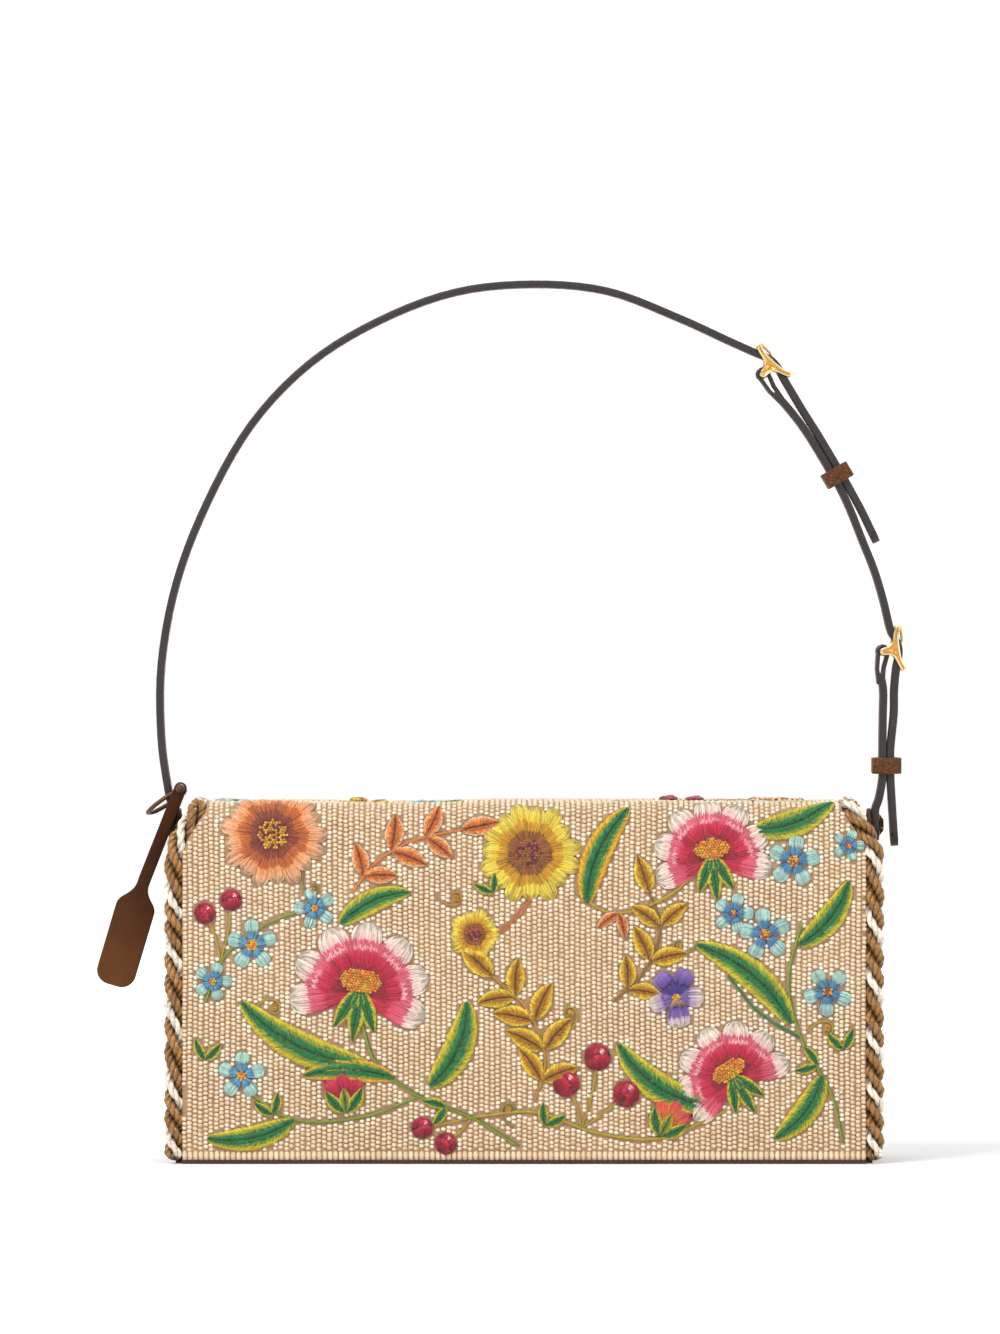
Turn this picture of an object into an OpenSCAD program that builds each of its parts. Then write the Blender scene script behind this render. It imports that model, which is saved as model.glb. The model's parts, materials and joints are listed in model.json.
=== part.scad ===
// Flap shoulder bag: a soft box with a beaded flap, rope edges and a buckled leather strap.
// Millimetres. The origin is on the base, at the bag's middle; X right, Y to the back, Z up.

/* [Bag] */
// Width of the bag over its side ropes
bag_w = 276; // [250:1:310]
// Height of the bag to the top of its cloth
bag_h = 139; // [125:1:170]
// Depth of the bag over the front and back cloth
bag_d = 54; // [50:1:80]
// How far the top ropes lie inside the side ropes
top_inset = 9; // [6:0.5:12]
// Gap under the flap, the back cloth and the ropes
hem_gap = 0.8; // [0.5:0.1:3]
// How far the bag's walls stop below the fold
wall_drop = 5.5; // [5:0.5:9]

/* [Cloth and leather] */
// Thickness of the beaded cloth
cloth_t = 1.7; // [1.4:0.1:1.9]
// Thickness of the lining behind the cloth
backing_t = 1.1; // [0.8:0.1:1.3]
// How far the backing shows below the cloth
backing_hem = 0.9; // [0.5:0.1:3]
// Thickness of the wall leather
leather_t = 1.6; // [1.2:0.1:1.8]
// Thickness of the base leather
base_t = 1.8; // [1.4:0.1:2.4]
// Thickness of the stiffening board
board_t = 2; // [1.5:0.1:3]
// Thickness of the compartment lining
lining_t = 0.8; // [0.6:0.1:1]
// Width of the leather turned in along each seam
turn_in = 11; // [8:0.5:16]

/* [Rope] */
// Diameter of the twisted rope
rope_d = 8.6; // [8.4:0.1:9.6]
// How far the rope stands proud of the cloth
rope_proud = 0.8; // [0.5:0.1:1]
// Radius on which the rope bends at the top corners
rope_bend_r = 16; // [12:0.5:20]
// Lean of the rope towards the top corner, in degrees
rope_lean = 32; // [28:1:38]

/* [Pocket] */
// Width of the slip pocket
pocket_w = 144; // [90:1:200]
// Height of the slip pocket
pocket_h = 70; // [50:1:90]
// Depth of the slip pocket
pocket_d = 5.4; // [5:0.2:9]
// Height of the pocket's floor above the base
pocket_z = 34; // [20:1:45]

/* [Magnetic snap] */
// Diameter of the snap
snap_d = 18; // [14:0.5:20]
// Height of the snap's middle above the base
snap_z = 34; // [24:1:60]
// Diameter of the snap's stud
stud_d = 7; // [5:0.5:8]
// Depth to which the stud enters its socket
stud_in = 1.2; // [0.8:0.1:1.8]

/* [Strap] */
// Height of the strap's top above its rivets
strap_rise = 208; // [180:1:280]
// How far the strap bows out past its rivets
strap_bow = 4.7; // [2:0.1:9]
// Width of the strap
strap_w = 12; // [10:0.5:12]
// Thickness of the strap
strap_t = 2.8; // [2.4:0.1:3]
// Diameter of the strap's adjusting holes
hole_d = 2.4; // [1.8:0.1:2.6]
// Distance between adjusting holes
hole_pitch = 12; // [10:0.5:14]
// Diameter of the strap rivets
rivet_d = 4; // [3:0.1:4.6]
// Diameter of the rivets' heads
rivet_head_d = 9; // [7:0.2:10]
// Thickness of the rivets' heads
rivet_head_t = 1.5; // [1:0.1:1.8]
// Height of the rivets below the fold
rivet_drop = 6.5; // [6:0.1:7]

/* [Buckles] */
// Distance from a buckle's middle to each end bar
rail_half = 7.6; // [7.4:0.1:8.4]
// Distance from the rails down to the inner bar
leg_drop = 6; // [5.8:0.1:6.4]
// Thickness of a buckle's rails
rail_t = 1.6; // [1.2:0.1:2]
// Diameter of the end bars
end_bar_d = 1.6; // [1.4:0.1:1.8]
// Diameter of the inner bar
inner_bar_d = 2.2; // [1.8:0.1:2.4]
// Thickness of the prong
prong_t = 1.2; // [1:0.1:1.4]
// Width of the prong
prong_w = 1.8; // [1.4:0.1:2]

/* [Keepers] */
// Length of a keeper along the strap
keeper_len = 6.2; // [5:0.1:8]
// Height of a keeper across the layers
keeper_h = 11.3; // [11:0.1:13]
// Thickness of the keeper leather
keeper_t = 1.3; // [1:0.1:1.4]

/* [Tag] */
// Length of the tag from its hole to its foot
tag_len = 80; // [66:1:95]
// Width of the tag's body
tag_w = 15.2; // [12:0.1:18]
// Length of the tag's body
tag_body_len = 40; // [34:1:46]
// Length of the shoulder between the stem and the body
tag_shoulder_len = 9; // [7:0.5:11]
// Width of the tag's stem
tag_stem_w = 4.8; // [4.6:0.1:5.4]
// Thickness of the tag
tag_t = 2.2; // [1.6:0.1:2.6]
// Lean of the tag away from upright, in degrees
tag_lean = 19.5; // [18:0.5:30]
// Diameter of the lace
lace_d = 1.7; // [1.2:0.1:1.7]

/* [Hidden] */
$fn = 48;

// Clearances: between moving bodies, between sewn pieces, between a pin and its hole
run_gap = 0.3;
seam_gap = 0.1;
pin_gap = 0.05;
// Overrun of every cut
cut = 1;

// The folds: the hinge lines along the top edges
rope_r = rope_d / 2;
fold_r = rope_r - rope_proud;
fold_y = bag_d / 2 - fold_r;
fold_z = bag_h - fold_r;
sheet_t = cloth_t + backing_t;
fold_clear = 0.4;
fold_tail = 25;
ball_clear = 0.7;

// The ropes' line, side and top, seen from the front
rope_x = bag_w / 2 - rope_r;
rope_top_x = rope_x - top_inset;
rope_lean_len = (top_inset - rope_bend_r * (1 - cos(rope_lean))) / sin(rope_lean);
rope_bend_z = fold_z - rope_lean_len * cos(rope_lean) - rope_bend_r * sin(rope_lean);
rope_foot_z = hem_gap + rope_r;
edge_off = rope_r + run_gap;

// The walls of the bag inside the ropes
wall_x = rope_x - seam_gap * 2;
wall_front_y = -(fold_y - rope_r - run_gap - seam_gap);
wall_back_y = bag_d / 2 - sheet_t - seam_gap;
corner_x = rope_x - rope_r - run_gap - seam_gap;
corner_y = fold_y - rope_r + run_gap * 4;
jog_y = corner_y - (wall_x - corner_x);
wall_top_z = fold_z - wall_drop;
wall_foot_z = base_t + seam_gap;
gusset_share = 0.15;
gusset_top_z = rope_bend_z + gusset_share * rope_bend_r;

// The strap's rivets and the tabs that hold them
strap_x = wall_x + run_gap + strap_t / 2;
rivet_z = fold_z - rivet_drop;
tab_r = strap_w / 2 + seam_gap * 5;
arch_x = strap_x + strap_bow;

// The compartment lining
lining_x = corner_x - leather_t - seam_gap * 10;
lining_front_y = wall_front_y + 2 * (leather_t + seam_gap);
lining_back_y = wall_back_y - leather_t - seam_gap;
board_z = wall_foot_z + seam_gap;
lining_z = board_z + board_t + seam_gap;

// Places on the strap's arch, as shares of its half width and its rise
strap_long_shares = [
    [-0.979, 0.067], [-0.998, 0.165], [-0.997, 0.300], [-0.955, 0.450], [-0.870, 0.598],
    [-0.749, 0.741], [-0.590, 0.853], [-0.400, 0.932], [-0.190, 0.985], [0.026, 1.000],
    [0.230, 0.987], [0.420, 0.939], [0.560, 0.896],
];
strap_middle_shares = [[0.963, 0.471], [0.988, 0.415]];
strap_short_shares = [[0.988, 0.249], [0.987, 0.205]];
tail_lower_shares = [[1.018, 0.249], [1.017, 0.205]];
buckle_upper_share = [0.684, 0.856];
buckle_lower_share = [1.029, 0.3268];
keeper_upper_share = [0.861, 0.647];
keeper_lower_share = [0.997, 0.110];

// Turns of the buckles and keepers below level, in degrees
buckle_upper_turn = 42.3;
buckle_lower_turn = 81.4;
keeper_upper_turn = 59.7;
keeper_lower_turn = 90;

// Strap line through a buckle, as shares of the bar distance and the leg
threading_shares = [[-1, -0.325], [-0.52, -0.1], [0, 0.02], [0.52, -0.1], [1, -0.325]];
// Side outline of a rail, as shares of the bar distance and the leg
rail_shares = [
    [-1.16, 0.20], [-1.13, 0.03], [-0.92, -0.13], [-0.64, -0.23], [-0.37, -0.36], [-0.20, -0.66],
    [-0.13, -1.06], [0.04, -1.22], [0.21, -1.05], [0.25, -0.68], [0.37, -0.40], [0.64, -0.25],
    [0.92, -0.13], [1.13, 0.01], [1.17, 0.18], [1.00, 0.27], [0.62, 0.10], [0, 0.06],
    [-0.62, 0.10], [-0.99, 0.28],
];
end_bar_rise_share = 0.1;
inner_bar_share = 0.04;
// The strap's folded end beyond the inner bar, as shares of the bar distance and the leg
loop_over_shares = [[1.64, -1.33], [0.86, -1.1]];
loop_under_shares = [[0.86, -1.53], [1.64, -1.57]];
loop_joint_share = [1.08, -1.38];
// Prong line from the inner bar to the end bar, as shares of the bar distance and the leg
prong_shares = [[-0.11, -0.8], [-0.2, -0.35], [-0.22, 0.1], [-0.33, 0.31], [-0.58, 0.36], [-1.13, 0.362]];
slot_shares = [-0.39, 0.16];

// Fits in the buckles and keepers
ply_t = strap_t / 2;
bar_gap = 0.2;
loop_r = inner_bar_d / 2 + bar_gap + ply_t / 2;
rail_gap = 0.4;
slot_w = prong_w + 2 * run_gap;
layer_gap = 0.3;
layer_off = (strap_t + layer_gap) / 2;
keeper_corner_r = 3;

// The lace's route: steps from the strap's middle at the height of the lace
lace_route = [
    [4.7, -7.4, 4.4], [0, -7.4, 1.6], [-4.5, -7.1, -1.6], [-7.6, -4, -4.4], [-8, 1, -5.4],
    [-5.4, 5.6, -4.8], [-1, 7.5, -2.4], [3, 7.4, 0.4], [5.6, 4, 2.4], [6.1, -1, 3.6],
    [5.6, -5.4, 4.6],
];
lace_share = [-0.9764, 0.0478];
knot_d = 3.6;
lace_gap = 0.4;

function at_arch(share) = [arch_x * share[0], rivet_z + strap_rise * share[1]];
function at_turn(place, turn, s, n) = place + s * [cos(turn), -sin(turn)] + n * [sin(turn), cos(turn)];
function unit(v) = v / norm(v);
function left_of(v) = [-v[1], v[0]];
function heading(p, i) = unit(p[min(i + 1, len(p) - 1)] - p[max(i - 1, 0)]);
function ribbon(p, t) = concat(
    [for (i = [0 : len(p) - 1]) p[i] + left_of(heading(p, i)) * t / 2],
    [for (i = [len(p) - 1 : -1 : 0]) p[i] - left_of(heading(p, i)) * t / 2]
);
function blend_at(a, b, c, d, s) = (
    2 * b + (c - a) * s + (2 * a - 5 * b + 4 * c - d) * s * s + (3 * b - a - 3 * c + d) * s * s * s
) / 2;
function spline(p, n) = concat(
    [for (i = [0 : len(p) - 2]) for (k = [0 : n - 1])
        blend_at(p[max(i - 1, 0)], p[i], p[i + 1], p[min(i + 2, len(p) - 1)], k / n)],
    [p[len(p) - 1]]
);
function closed_spline(p, n) = [for (i = [0 : len(p) - 1]) for (k = [0 : n - 1])
    blend_at(p[(i + len(p) - 1) % len(p)], p[i], p[(i + 1) % len(p)], p[(i + 2) % len(p)], k / n)];
function buckle_point(share) = [share[0] * rail_half, share[1] * leg_drop];
function at_buckle(place, turn, share) = at_turn(place, turn, buckle_point(share)[0], buckle_point(share)[1]);

buckle_upper_at = at_arch(buckle_upper_share);
buckle_lower_at = at_arch(buckle_lower_share);
keeper_upper_at = at_arch(keeper_upper_share);
keeper_lower_at = at_arch(keeper_lower_share);
inner_bar = buckle_point([inner_bar_share, -1]);

// Strap lines: the long piece, the middle piece and the short piece
tail_upper_steps = [[-2.35, 0.09], [-1.55, 0.12], [-0.75, 0.13], [0, 0.13], [0.42, 0.13], [1.35, 0.1], [2, 0.05]];
tail_lower_steps = [[-0.6, 0.13], [0, 0.13], [0.4, 0.13], [1.12, 0.17], [2.08, 0.23]];
middle_steps = [
    [-2.57, -0.26], [-1.76, -0.16], [-0.75, -0.13], [0, -0.13], [0.42, -0.13], [1.18, -0.2], [2.22, -0.36],
];
function along_keeper(place, turn, steps) = [for (s = steps) at_turn(place, turn, s[0] * strap_w, s[1] * strap_w)];
function threaded(place, turn) = [for (s = threading_shares) at_buckle(place, turn, s)];

rivet_lead = strap_w / 2;
long_line = spline(concat(
    [[-strap_x, rivet_z], [-strap_x, rivet_z + rivet_lead]],
    [for (s = strap_long_shares) at_arch(s)],
    threaded(buckle_upper_at, buckle_upper_turn),
    along_keeper(keeper_upper_at, keeper_upper_turn, tail_upper_steps)
), 5);
middle_line = spline(concat(
    [at_buckle(buckle_upper_at, buckle_upper_turn, loop_joint_share)],
    along_keeper(keeper_upper_at, keeper_upper_turn, middle_steps),
    [for (s = strap_middle_shares) at_arch(s)],
    threaded(buckle_lower_at, buckle_lower_turn),
    [for (s = tail_lower_shares) at_arch(s)],
    along_keeper(keeper_lower_at, keeper_lower_turn, tail_lower_steps)
), 5);
short_line = spline(concat(
    [at_buckle(buckle_lower_at, buckle_lower_turn, loop_joint_share)],
    [for (s = strap_short_shares) at_arch(s)],
    along_keeper(keeper_lower_at, keeper_lower_turn, [[-0.6, -0.13], [0, -0.13], [0.42, -0.13]]),
    [[(strap_x + keeper_lower_at[0] - layer_off) / 2, rivet_z + rivet_lead * 1.7],
        [strap_x, rivet_z + rivet_lead], [strap_x, rivet_z]]
), 5);

module upright(width) rotate([90, 0, 0]) linear_extrude(width, center = true) children();
module across(width) rotate([90, 0, 90]) linear_extrude(width, center = true) children();
module mirrored(side) scale([side, 1, 1]) children();
module at_place(place, turn) translate([place[0], 0, place[1]]) rotate([0, turn, 0]) children();

// The outline of the front and back sheets, seen from the front, drawn inside the ropes
function sheet_side() = concat(
    [[rope_x - edge_off, rope_bend_z]],
    [for (a = [4 : 4 : rope_lean]) [rope_x - rope_bend_r + (rope_bend_r - edge_off) * cos(a),
        rope_bend_z + (rope_bend_r - edge_off) * sin(a)]],
    [[rope_top_x - edge_off / cos(rope_lean), fold_z]]
);
module sheet_outline(foot_z) {
    side = sheet_side();
    polygon(concat(
        [[rope_x - edge_off, foot_z]], side,
        [for (i = [len(side) - 1 : -1 : 0]) [-side[i][0], side[i][1]]],
        [[-(rope_x - edge_off), foot_z]]
    ));
}
// An upright sheet of the front (side -1) or the back (side 1), hollowed at its top to clear the fold
module upright_sheet(side, off, t, foot_z) {
    difference() {
        translate([0, side * (bag_d / 2 - off - t / 2), 0]) upright(t) sheet_outline(foot_z);
        translate([0, side * fold_y, fold_z]) rotate([0, 90, 0])
            cylinder(r = fold_r + fold_clear, h = bag_w, center = true);
    }
}
// Section of a top sheet that curls round both folds, from the outer radius in by t
module curled_section(outer, t) {
    translate([-fold_y, fold_z + outer - t]) square([2 * fold_y, t]);
    for (side = [-1, 1]) translate([side * fold_y, fold_z]) mirrored(-side) intersection() {
        difference() {
            circle(outer);
            circle(outer - t);
        }
        polygon([[0, 0], [0, 2 * outer], [-2 * outer, 2 * outer], [-2 * outer, -2 * outer * tan(fold_tail)]]);
    }
}
module curled_sheet(outer, t) across(2 * (rope_top_x - edge_off)) curled_section(outer, t);

module base_panel() {
    color("#5a3d33") linear_extrude(base_t) polygon([
        [-wall_x, wall_front_y], [wall_x, wall_front_y], [wall_x, jog_y], [corner_x, corner_y],
        [corner_x, wall_back_y], [-corner_x, wall_back_y], [-corner_x, corner_y], [-wall_x, jog_y],
    ]);
}
module base_board() {
    color("#8d8478") translate([-lining_x, lining_front_y, board_z])
        cube([2 * lining_x, lining_back_y - lining_front_y, board_t]);
}
module back_cloth() { color("#ecd2a8") upright_sheet(1, 0, cloth_t, hem_gap + backing_hem); }
module back_lining() { color("#5b3a30") upright_sheet(1, cloth_t, backing_t, hem_gap); }
module flap_front_cloth() { color("#ecd2a8") upright_sheet(-1, 0, cloth_t, hem_gap + backing_hem); }
module flap_front_lining() { color("#5b3a30") upright_sheet(-1, cloth_t, backing_t, hem_gap); }
module flap_top_cloth() { color("#ecd2a8") curled_sheet(fold_r, cloth_t); }
module flap_top_lining() { color("#5b3a30") curled_sheet(fold_r - cloth_t, backing_t); }

module front_panel() {
    color("#5b3a30") difference() {
        translate([-wall_x, wall_front_y, wall_foot_z]) cube([2 * wall_x, leather_t, wall_top_z - wall_foot_z]);
        snap_bore(stud_d / 2);
    }
}
module snap_bore(r) {
    translate([0, wall_front_y - cut, snap_z]) rotate([-90, 0, 0]) cylinder(r = r, h = leather_t + 2 * cut);
}

// One side wall: a leather channel turned in at the front and back, with the strap's tab on top
module gusset_shape() {
    mid_x = wall_x - leather_t / 2;
    in_front_y = wall_front_y + leather_t * 1.5 + seam_gap;
    in_back_y = wall_back_y - leather_t / 2 - seam_gap;
    in_corner_x = corner_x - leather_t / 2;
    line = [
        [mid_x - turn_in, in_front_y], [mid_x - leather_t, in_front_y], [mid_x, in_front_y + leather_t],
        [mid_x, jog_y - leather_t / 2], [in_corner_x, corner_y - leather_t / 2],
        [in_corner_x, in_back_y - leather_t], [in_corner_x - leather_t, in_back_y],
        [in_corner_x - turn_in, in_back_y],
    ];
    difference() {
        union() {
            translate([0, 0, wall_foot_z]) linear_extrude(gusset_top_z - wall_foot_z) polygon(ribbon(line, leather_t));
            translate([wall_x - leather_t, -tab_r, gusset_top_z - cut])
                cube([leather_t, 2 * tab_r, rivet_z - gusset_top_z + cut]);
            translate([wall_x - leather_t, 0, rivet_z]) rotate([0, 90, 0]) cylinder(r = tab_r, h = leather_t);
        }
        translate([wall_x - leather_t - cut, 0, rivet_z]) rotate([0, 90, 0])
            cylinder(d = rivet_d + 2 * pin_gap, h = leather_t + 2 * cut);
    }
}
module gusset_left() { color("#6b4632") mirrored(-1) gusset_shape(); }
module gusset_right() { color("#6b4632") gusset_shape(); }

// Plan of the compartment, drawn in by a wall, its back corners cut off to clear the leaning ropes
lining_corner = rope_r;
module lining_plan(wall) {
    side = [
        [lining_x - wall, lining_front_y + wall],
        [lining_x - wall, lining_back_y - lining_corner - wall * tan(22.5)],
        [lining_x - lining_corner - wall * tan(22.5), lining_back_y - wall],
    ];
    polygon(concat(side, [for (i = [2 : -1 : 0]) [-side[i][0], side[i][1]]]));
}
module compartment_lining() {
    color("#7c5348") difference() {
        translate([0, 0, lining_z]) linear_extrude(wall_top_z - lining_z) lining_plan(0);
        translate([0, 0, lining_z + lining_t]) linear_extrude(wall_top_z) lining_plan(lining_t);
    }
}
module slip_pocket() {
    back_y = lining_back_y - lining_t - seam_gap;
    color("#6d463c") difference() {
        translate([-pocket_w / 2, back_y - pocket_d - lining_t, pocket_z])
            cube([pocket_w, pocket_d + lining_t, pocket_h]);
        translate([-pocket_w / 2 + lining_t, back_y - pocket_d, pocket_z + lining_t])
            cube([pocket_w - 2 * lining_t, pocket_d + cut, pocket_h]);
    }
}

// The snap: a socket on the front wall and a stud on the flap's lining
stud_seat_y = -(bag_d / 2 - sheet_t - seam_gap);
snap_share = 0.62;
snap_room = wall_front_y - stud_seat_y - seam_gap - run_gap;
socket_t = snap_room * snap_share;
stud_plate_t = snap_room - socket_t;
module snap_socket() {
    washer_t = leather_t / 2;
    color("#c9a45c") difference() {
        union() {
            translate([0, wall_front_y - seam_gap, snap_z]) rotate([90, 0, 0]) cylinder(d = snap_d, h = socket_t);
            translate([0, wall_front_y + leather_t + seam_gap + washer_t, snap_z]) rotate([90, 0, 0])
                cylinder(d = snap_d - 2 * leather_t, h = washer_t);
            translate([0, wall_front_y + leather_t + seam_gap + washer_t, snap_z]) rotate([90, 0, 0])
                cylinder(d = stud_d - 4 * pin_gap, h = leather_t + washer_t + 3 * seam_gap);
        }
        translate([0, wall_front_y - seam_gap - socket_t - cut, snap_z]) rotate([-90, 0, 0])
            cylinder(d = stud_d + 2 * lace_gap, h = stud_in + run_gap * 2 + cut);
    }
}
module snap_stud() {
    color("#c9a45c") translate([0, stud_seat_y, snap_z]) rotate([-90, 0, 0]) {
        cylinder(d = snap_d, h = stud_plate_t);
        cylinder(d = stud_d, h = stud_plate_t + run_gap + stud_in);
    }
}

module rivet_shape() {
    inner_x = wall_x - leather_t - seam_gap - rivet_head_t / 2;
    outer_x = strap_x + strap_t / 2 + run_gap;
    translate([0, 0, rivet_z]) rotate([0, 90, 0]) {
        translate([0, 0, inner_x]) cylinder(d = rivet_head_d, h = rivet_head_t / 2);
        translate([0, 0, inner_x]) cylinder(d = rivet_d, h = outer_x - inner_x + cut / 2);
        translate([0, 0, outer_x]) cylinder(d1 = rivet_head_d, d2 = rivet_head_d / 2, h = rivet_head_t);
    }
}
module strap_rivet_left() { color("#c9a45c") mirrored(-1) rivet_shape(); }
module strap_rivet_right() { color("#c9a45c") rivet_shape(); }

// A tube along points p, with a radius for each point; closed joins its last ring to its first
function ring_at(p, way, r, across, sides) = let (a = unit(cross(across, way)), b = cross(way, a))
    [for (k = [0 : sides - 1]) p + r * (cos(360 * k / sides) * a + sin(360 * k / sides) * b)];
module tube(p, radii, across, sides, closed) {
    n = len(p);
    ways = [for (i = [0 : n - 1]) unit(closed ? p[(i + 1) % n] - p[(i + n - 1) % n]
        : p[min(i + 1, n - 1)] - p[max(i - 1, 0)])];
    points = [for (i = [0 : n - 1]) each ring_at(p[i], ways[i], radii[i], across, sides)];
    sleeve = [for (i = [0 : n - (closed ? 1 : 2)]) for (k = [0 : sides - 1])
        let (j = (i + 1) % n * sides, m = (k + 1) % sides)
        each [[i * sides + k, j + k, j + m], [i * sides + k, j + m, i * sides + m]]];
    ends = closed ? [] : [
        [for (k = [0 : sides - 1]) k], [for (k = [sides - 1 : -1 : 0]) (n - 1) * sides + k],
    ];
    polyhedron(points, concat(sleeve, ends), convexity = 4);
}

// A side rope: up the edge, round the corner, leaning in to the fold's ball
foot_turns = [80, 60, 40, 20];
module side_rope(side) {
    bend = [rope_x - rope_bend_r, side * fold_y, rope_bend_z];
    foot = [for (a = foot_turns) [rope_x, side * fold_y, rope_foot_z - rope_r * sin(a)]];
    line = concat(
        foot, [[rope_x, side * fold_y, rope_foot_z]],
        [for (k = [0 : 5]) bend + rope_bend_r * [cos(rope_lean * k / 5), 0, sin(rope_lean * k / 5)]],
        [[rope_top_x + (rope_r + ball_clear) * sin(rope_lean), side * fold_y,
            fold_z - (rope_r + ball_clear) * cos(rope_lean)]]
    );
    radii = concat([for (a = foot_turns) rope_r * cos(a)], [for (k = [0 : 7]) rope_r]);
    color("#8a6a3c") tube(line, radii, [0, 1, 0], 18, false);
}
module top_rope() {
    color("#8a6a3c") {
        translate([rope_top_x, 0, fold_z]) rotate([90, 0, 0]) cylinder(r = rope_r, h = 2 * fold_y, center = true);
        for (side = [-1, 1]) translate([rope_top_x, side * fold_y, fold_z]) sphere(rope_r);
    }
}
module rope_back_left() mirrored(-1) side_rope(1);
module rope_back_right() side_rope(1);
module rope_front_left() mirrored(-1) side_rope(-1);
module rope_front_right() side_rope(-1);
module rope_top_left() mirrored(-1) top_rope();
module rope_top_right() top_rope();

// A rounded strap tip in the plane of the strap's last stretch
module tip(line) {
    last = line[len(line) - 1];
    way = heading(line, len(line) - 1);
    translate([last[0], 0, last[1]]) rotate([0, atan2(way[0], way[1]), 0]) rotate([0, 90, 0])
        cylinder(d = strap_w, h = strap_t, center = true);
}
// The eye at a strap's riveted end, and its hole
module eye(x) {
    translate([x, 0, rivet_z]) rotate([0, 90, 0]) cylinder(d = strap_w, h = strap_t, center = true);
}
module eye_hole(x) {
    translate([x, 0, rivet_z]) rotate([0, 90, 0])
        cylinder(d = rivet_d + 2 * pin_gap, h = strap_t + 2 * cut, center = true);
}
// The slot that a prong passes through, cut in the strap threaded over a buckle
module prong_slot(place, turn) {
    at_place(place, turn) translate([slot_shares[0] * rail_half, -slot_w / 2, -strap_t])
        cube([(slot_shares[1] - slot_shares[0]) * rail_half, slot_w, 2 * strap_t]);
}
// The slot in the folded end, where the prong's eye sits on the inner bar
module fold_slot(place, turn) {
    half = loop_r + ply_t / 2 + run_gap;
    at_place(place, turn) translate([inner_bar[0] - half, -slot_w / 2, inner_bar[1] - half])
        cube([2 * half, slot_w, 2 * half]);
}
// A strap end folded round the inner bar, one ply thick, drawn as a loop in the buckle's plane
function loop_line(place, turn) = concat(
    [for (s = loop_over_shares) at_buckle(place, turn, s)],
    [for (a = [75 : 15 : 285]) at_turn(place, turn, inner_bar[0] + loop_r * cos(a), inner_bar[1] + loop_r * sin(a))],
    [for (s = loop_under_shares) at_buckle(place, turn, s)]
);
// Adjusting holes along a tail, counted back from its tip
module tail_holes(line, count) {
    last = line[len(line) - 1];
    way = heading(line, len(line) - 1);
    for (i = [0 : count - 1]) translate([last[0] - way[0] * i * hole_pitch, 0, last[1] - way[1] * i * hole_pitch])
        rotate([0, atan2(way[0], way[1]) + 90, 0]) cylinder(d = hole_d, h = 3 * strap_t, center = true);
}

module strap_long() {
    color("#5a4337") difference() {
        union() {
            upright(strap_w) polygon(ribbon(long_line, strap_t));
            tip(long_line);
            eye(-strap_x);
        }
        eye_hole(-strap_x);
        prong_slot(buckle_upper_at, buckle_upper_turn);
        tail_holes(long_line, 2);
    }
}
module strap_middle() {
    color("#5a4337") difference() {
        union() {
            upright(strap_w) {
                polygon(ribbon(middle_line, strap_t));
                polygon(ribbon(loop_line(buckle_upper_at, buckle_upper_turn), ply_t));
            }
            tip(middle_line);
        }
        fold_slot(buckle_upper_at, buckle_upper_turn);
        prong_slot(buckle_lower_at, buckle_lower_turn);
        tail_holes(middle_line, 2);
    }
}
module strap_short() {
    color("#5a4337") difference() {
        union() {
            upright(strap_w) {
                polygon(ribbon(short_line, strap_t));
                polygon(ribbon(loop_line(buckle_lower_at, buckle_lower_turn), ply_t));
            }
            eye(strap_x);
        }
        eye_hole(strap_x);
        fold_slot(buckle_lower_at, buckle_lower_turn);
    }
}

// A buckle: two tee-shaped rails, an end bar at each end and the inner bar on the legs
module buckle(place, turn) {
    inner_half = strap_w / 2 + rail_gap;
    color("#d8a646") at_place(place, turn) {
        for (side = [-1, 1]) translate([0, side * (inner_half + rail_t / 2), 0])
            upright(rail_t) polygon(closed_spline([for (s = rail_shares) buckle_point(s)], 3));
        for (side = [-1, 1]) translate([side * rail_half, 0, end_bar_rise_share * leg_drop]) rotate([90, 0, 0])
            cylinder(d = end_bar_d, h = 2 * inner_half + rail_t, center = true);
        translate([inner_bar[0], 0, inner_bar[1]]) rotate([90, 0, 0])
            cylinder(d = inner_bar_d, h = 2 * inner_half + rail_t, center = true);
    }
}
module buckle_upper() buckle(buckle_upper_at, buckle_upper_turn);
module buckle_lower() buckle(buckle_lower_at, buckle_lower_turn);

// A prong: an eye on the inner bar, a stem through the strap and a tip on the end bar
module prong(place, turn) {
    eye_r = inner_bar_d / 2 + pin_gap * 2 + prong_t / 2;
    color("#e0b458") at_place(place, turn) difference() {
        union() {
            upright(prong_w) polygon(ribbon(spline([for (s = prong_shares) buckle_point(s)], 4), prong_t));
            translate([inner_bar[0], 0, inner_bar[1]]) rotate([90, 0, 0])
                cylinder(r = eye_r, h = prong_w, center = true);
        }
        translate([inner_bar[0], 0, inner_bar[1]]) rotate([90, 0, 0])
            cylinder(r = inner_bar_d / 2 + pin_gap, h = prong_w + 2 * cut, center = true);
    }
}
module prong_upper() prong(buckle_upper_at, buckle_upper_turn);
module prong_lower() prong(buckle_lower_at, buckle_lower_turn);

module round_box(w, h, r) {
    square([w - 2 * r, h], center = true);
    square([w, h - 2 * r], center = true);
    for (x = [-1, 1], y = [-1, 1]) translate([x * (w / 2 - r), y * (h / 2 - r)]) circle(r);
}
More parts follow.
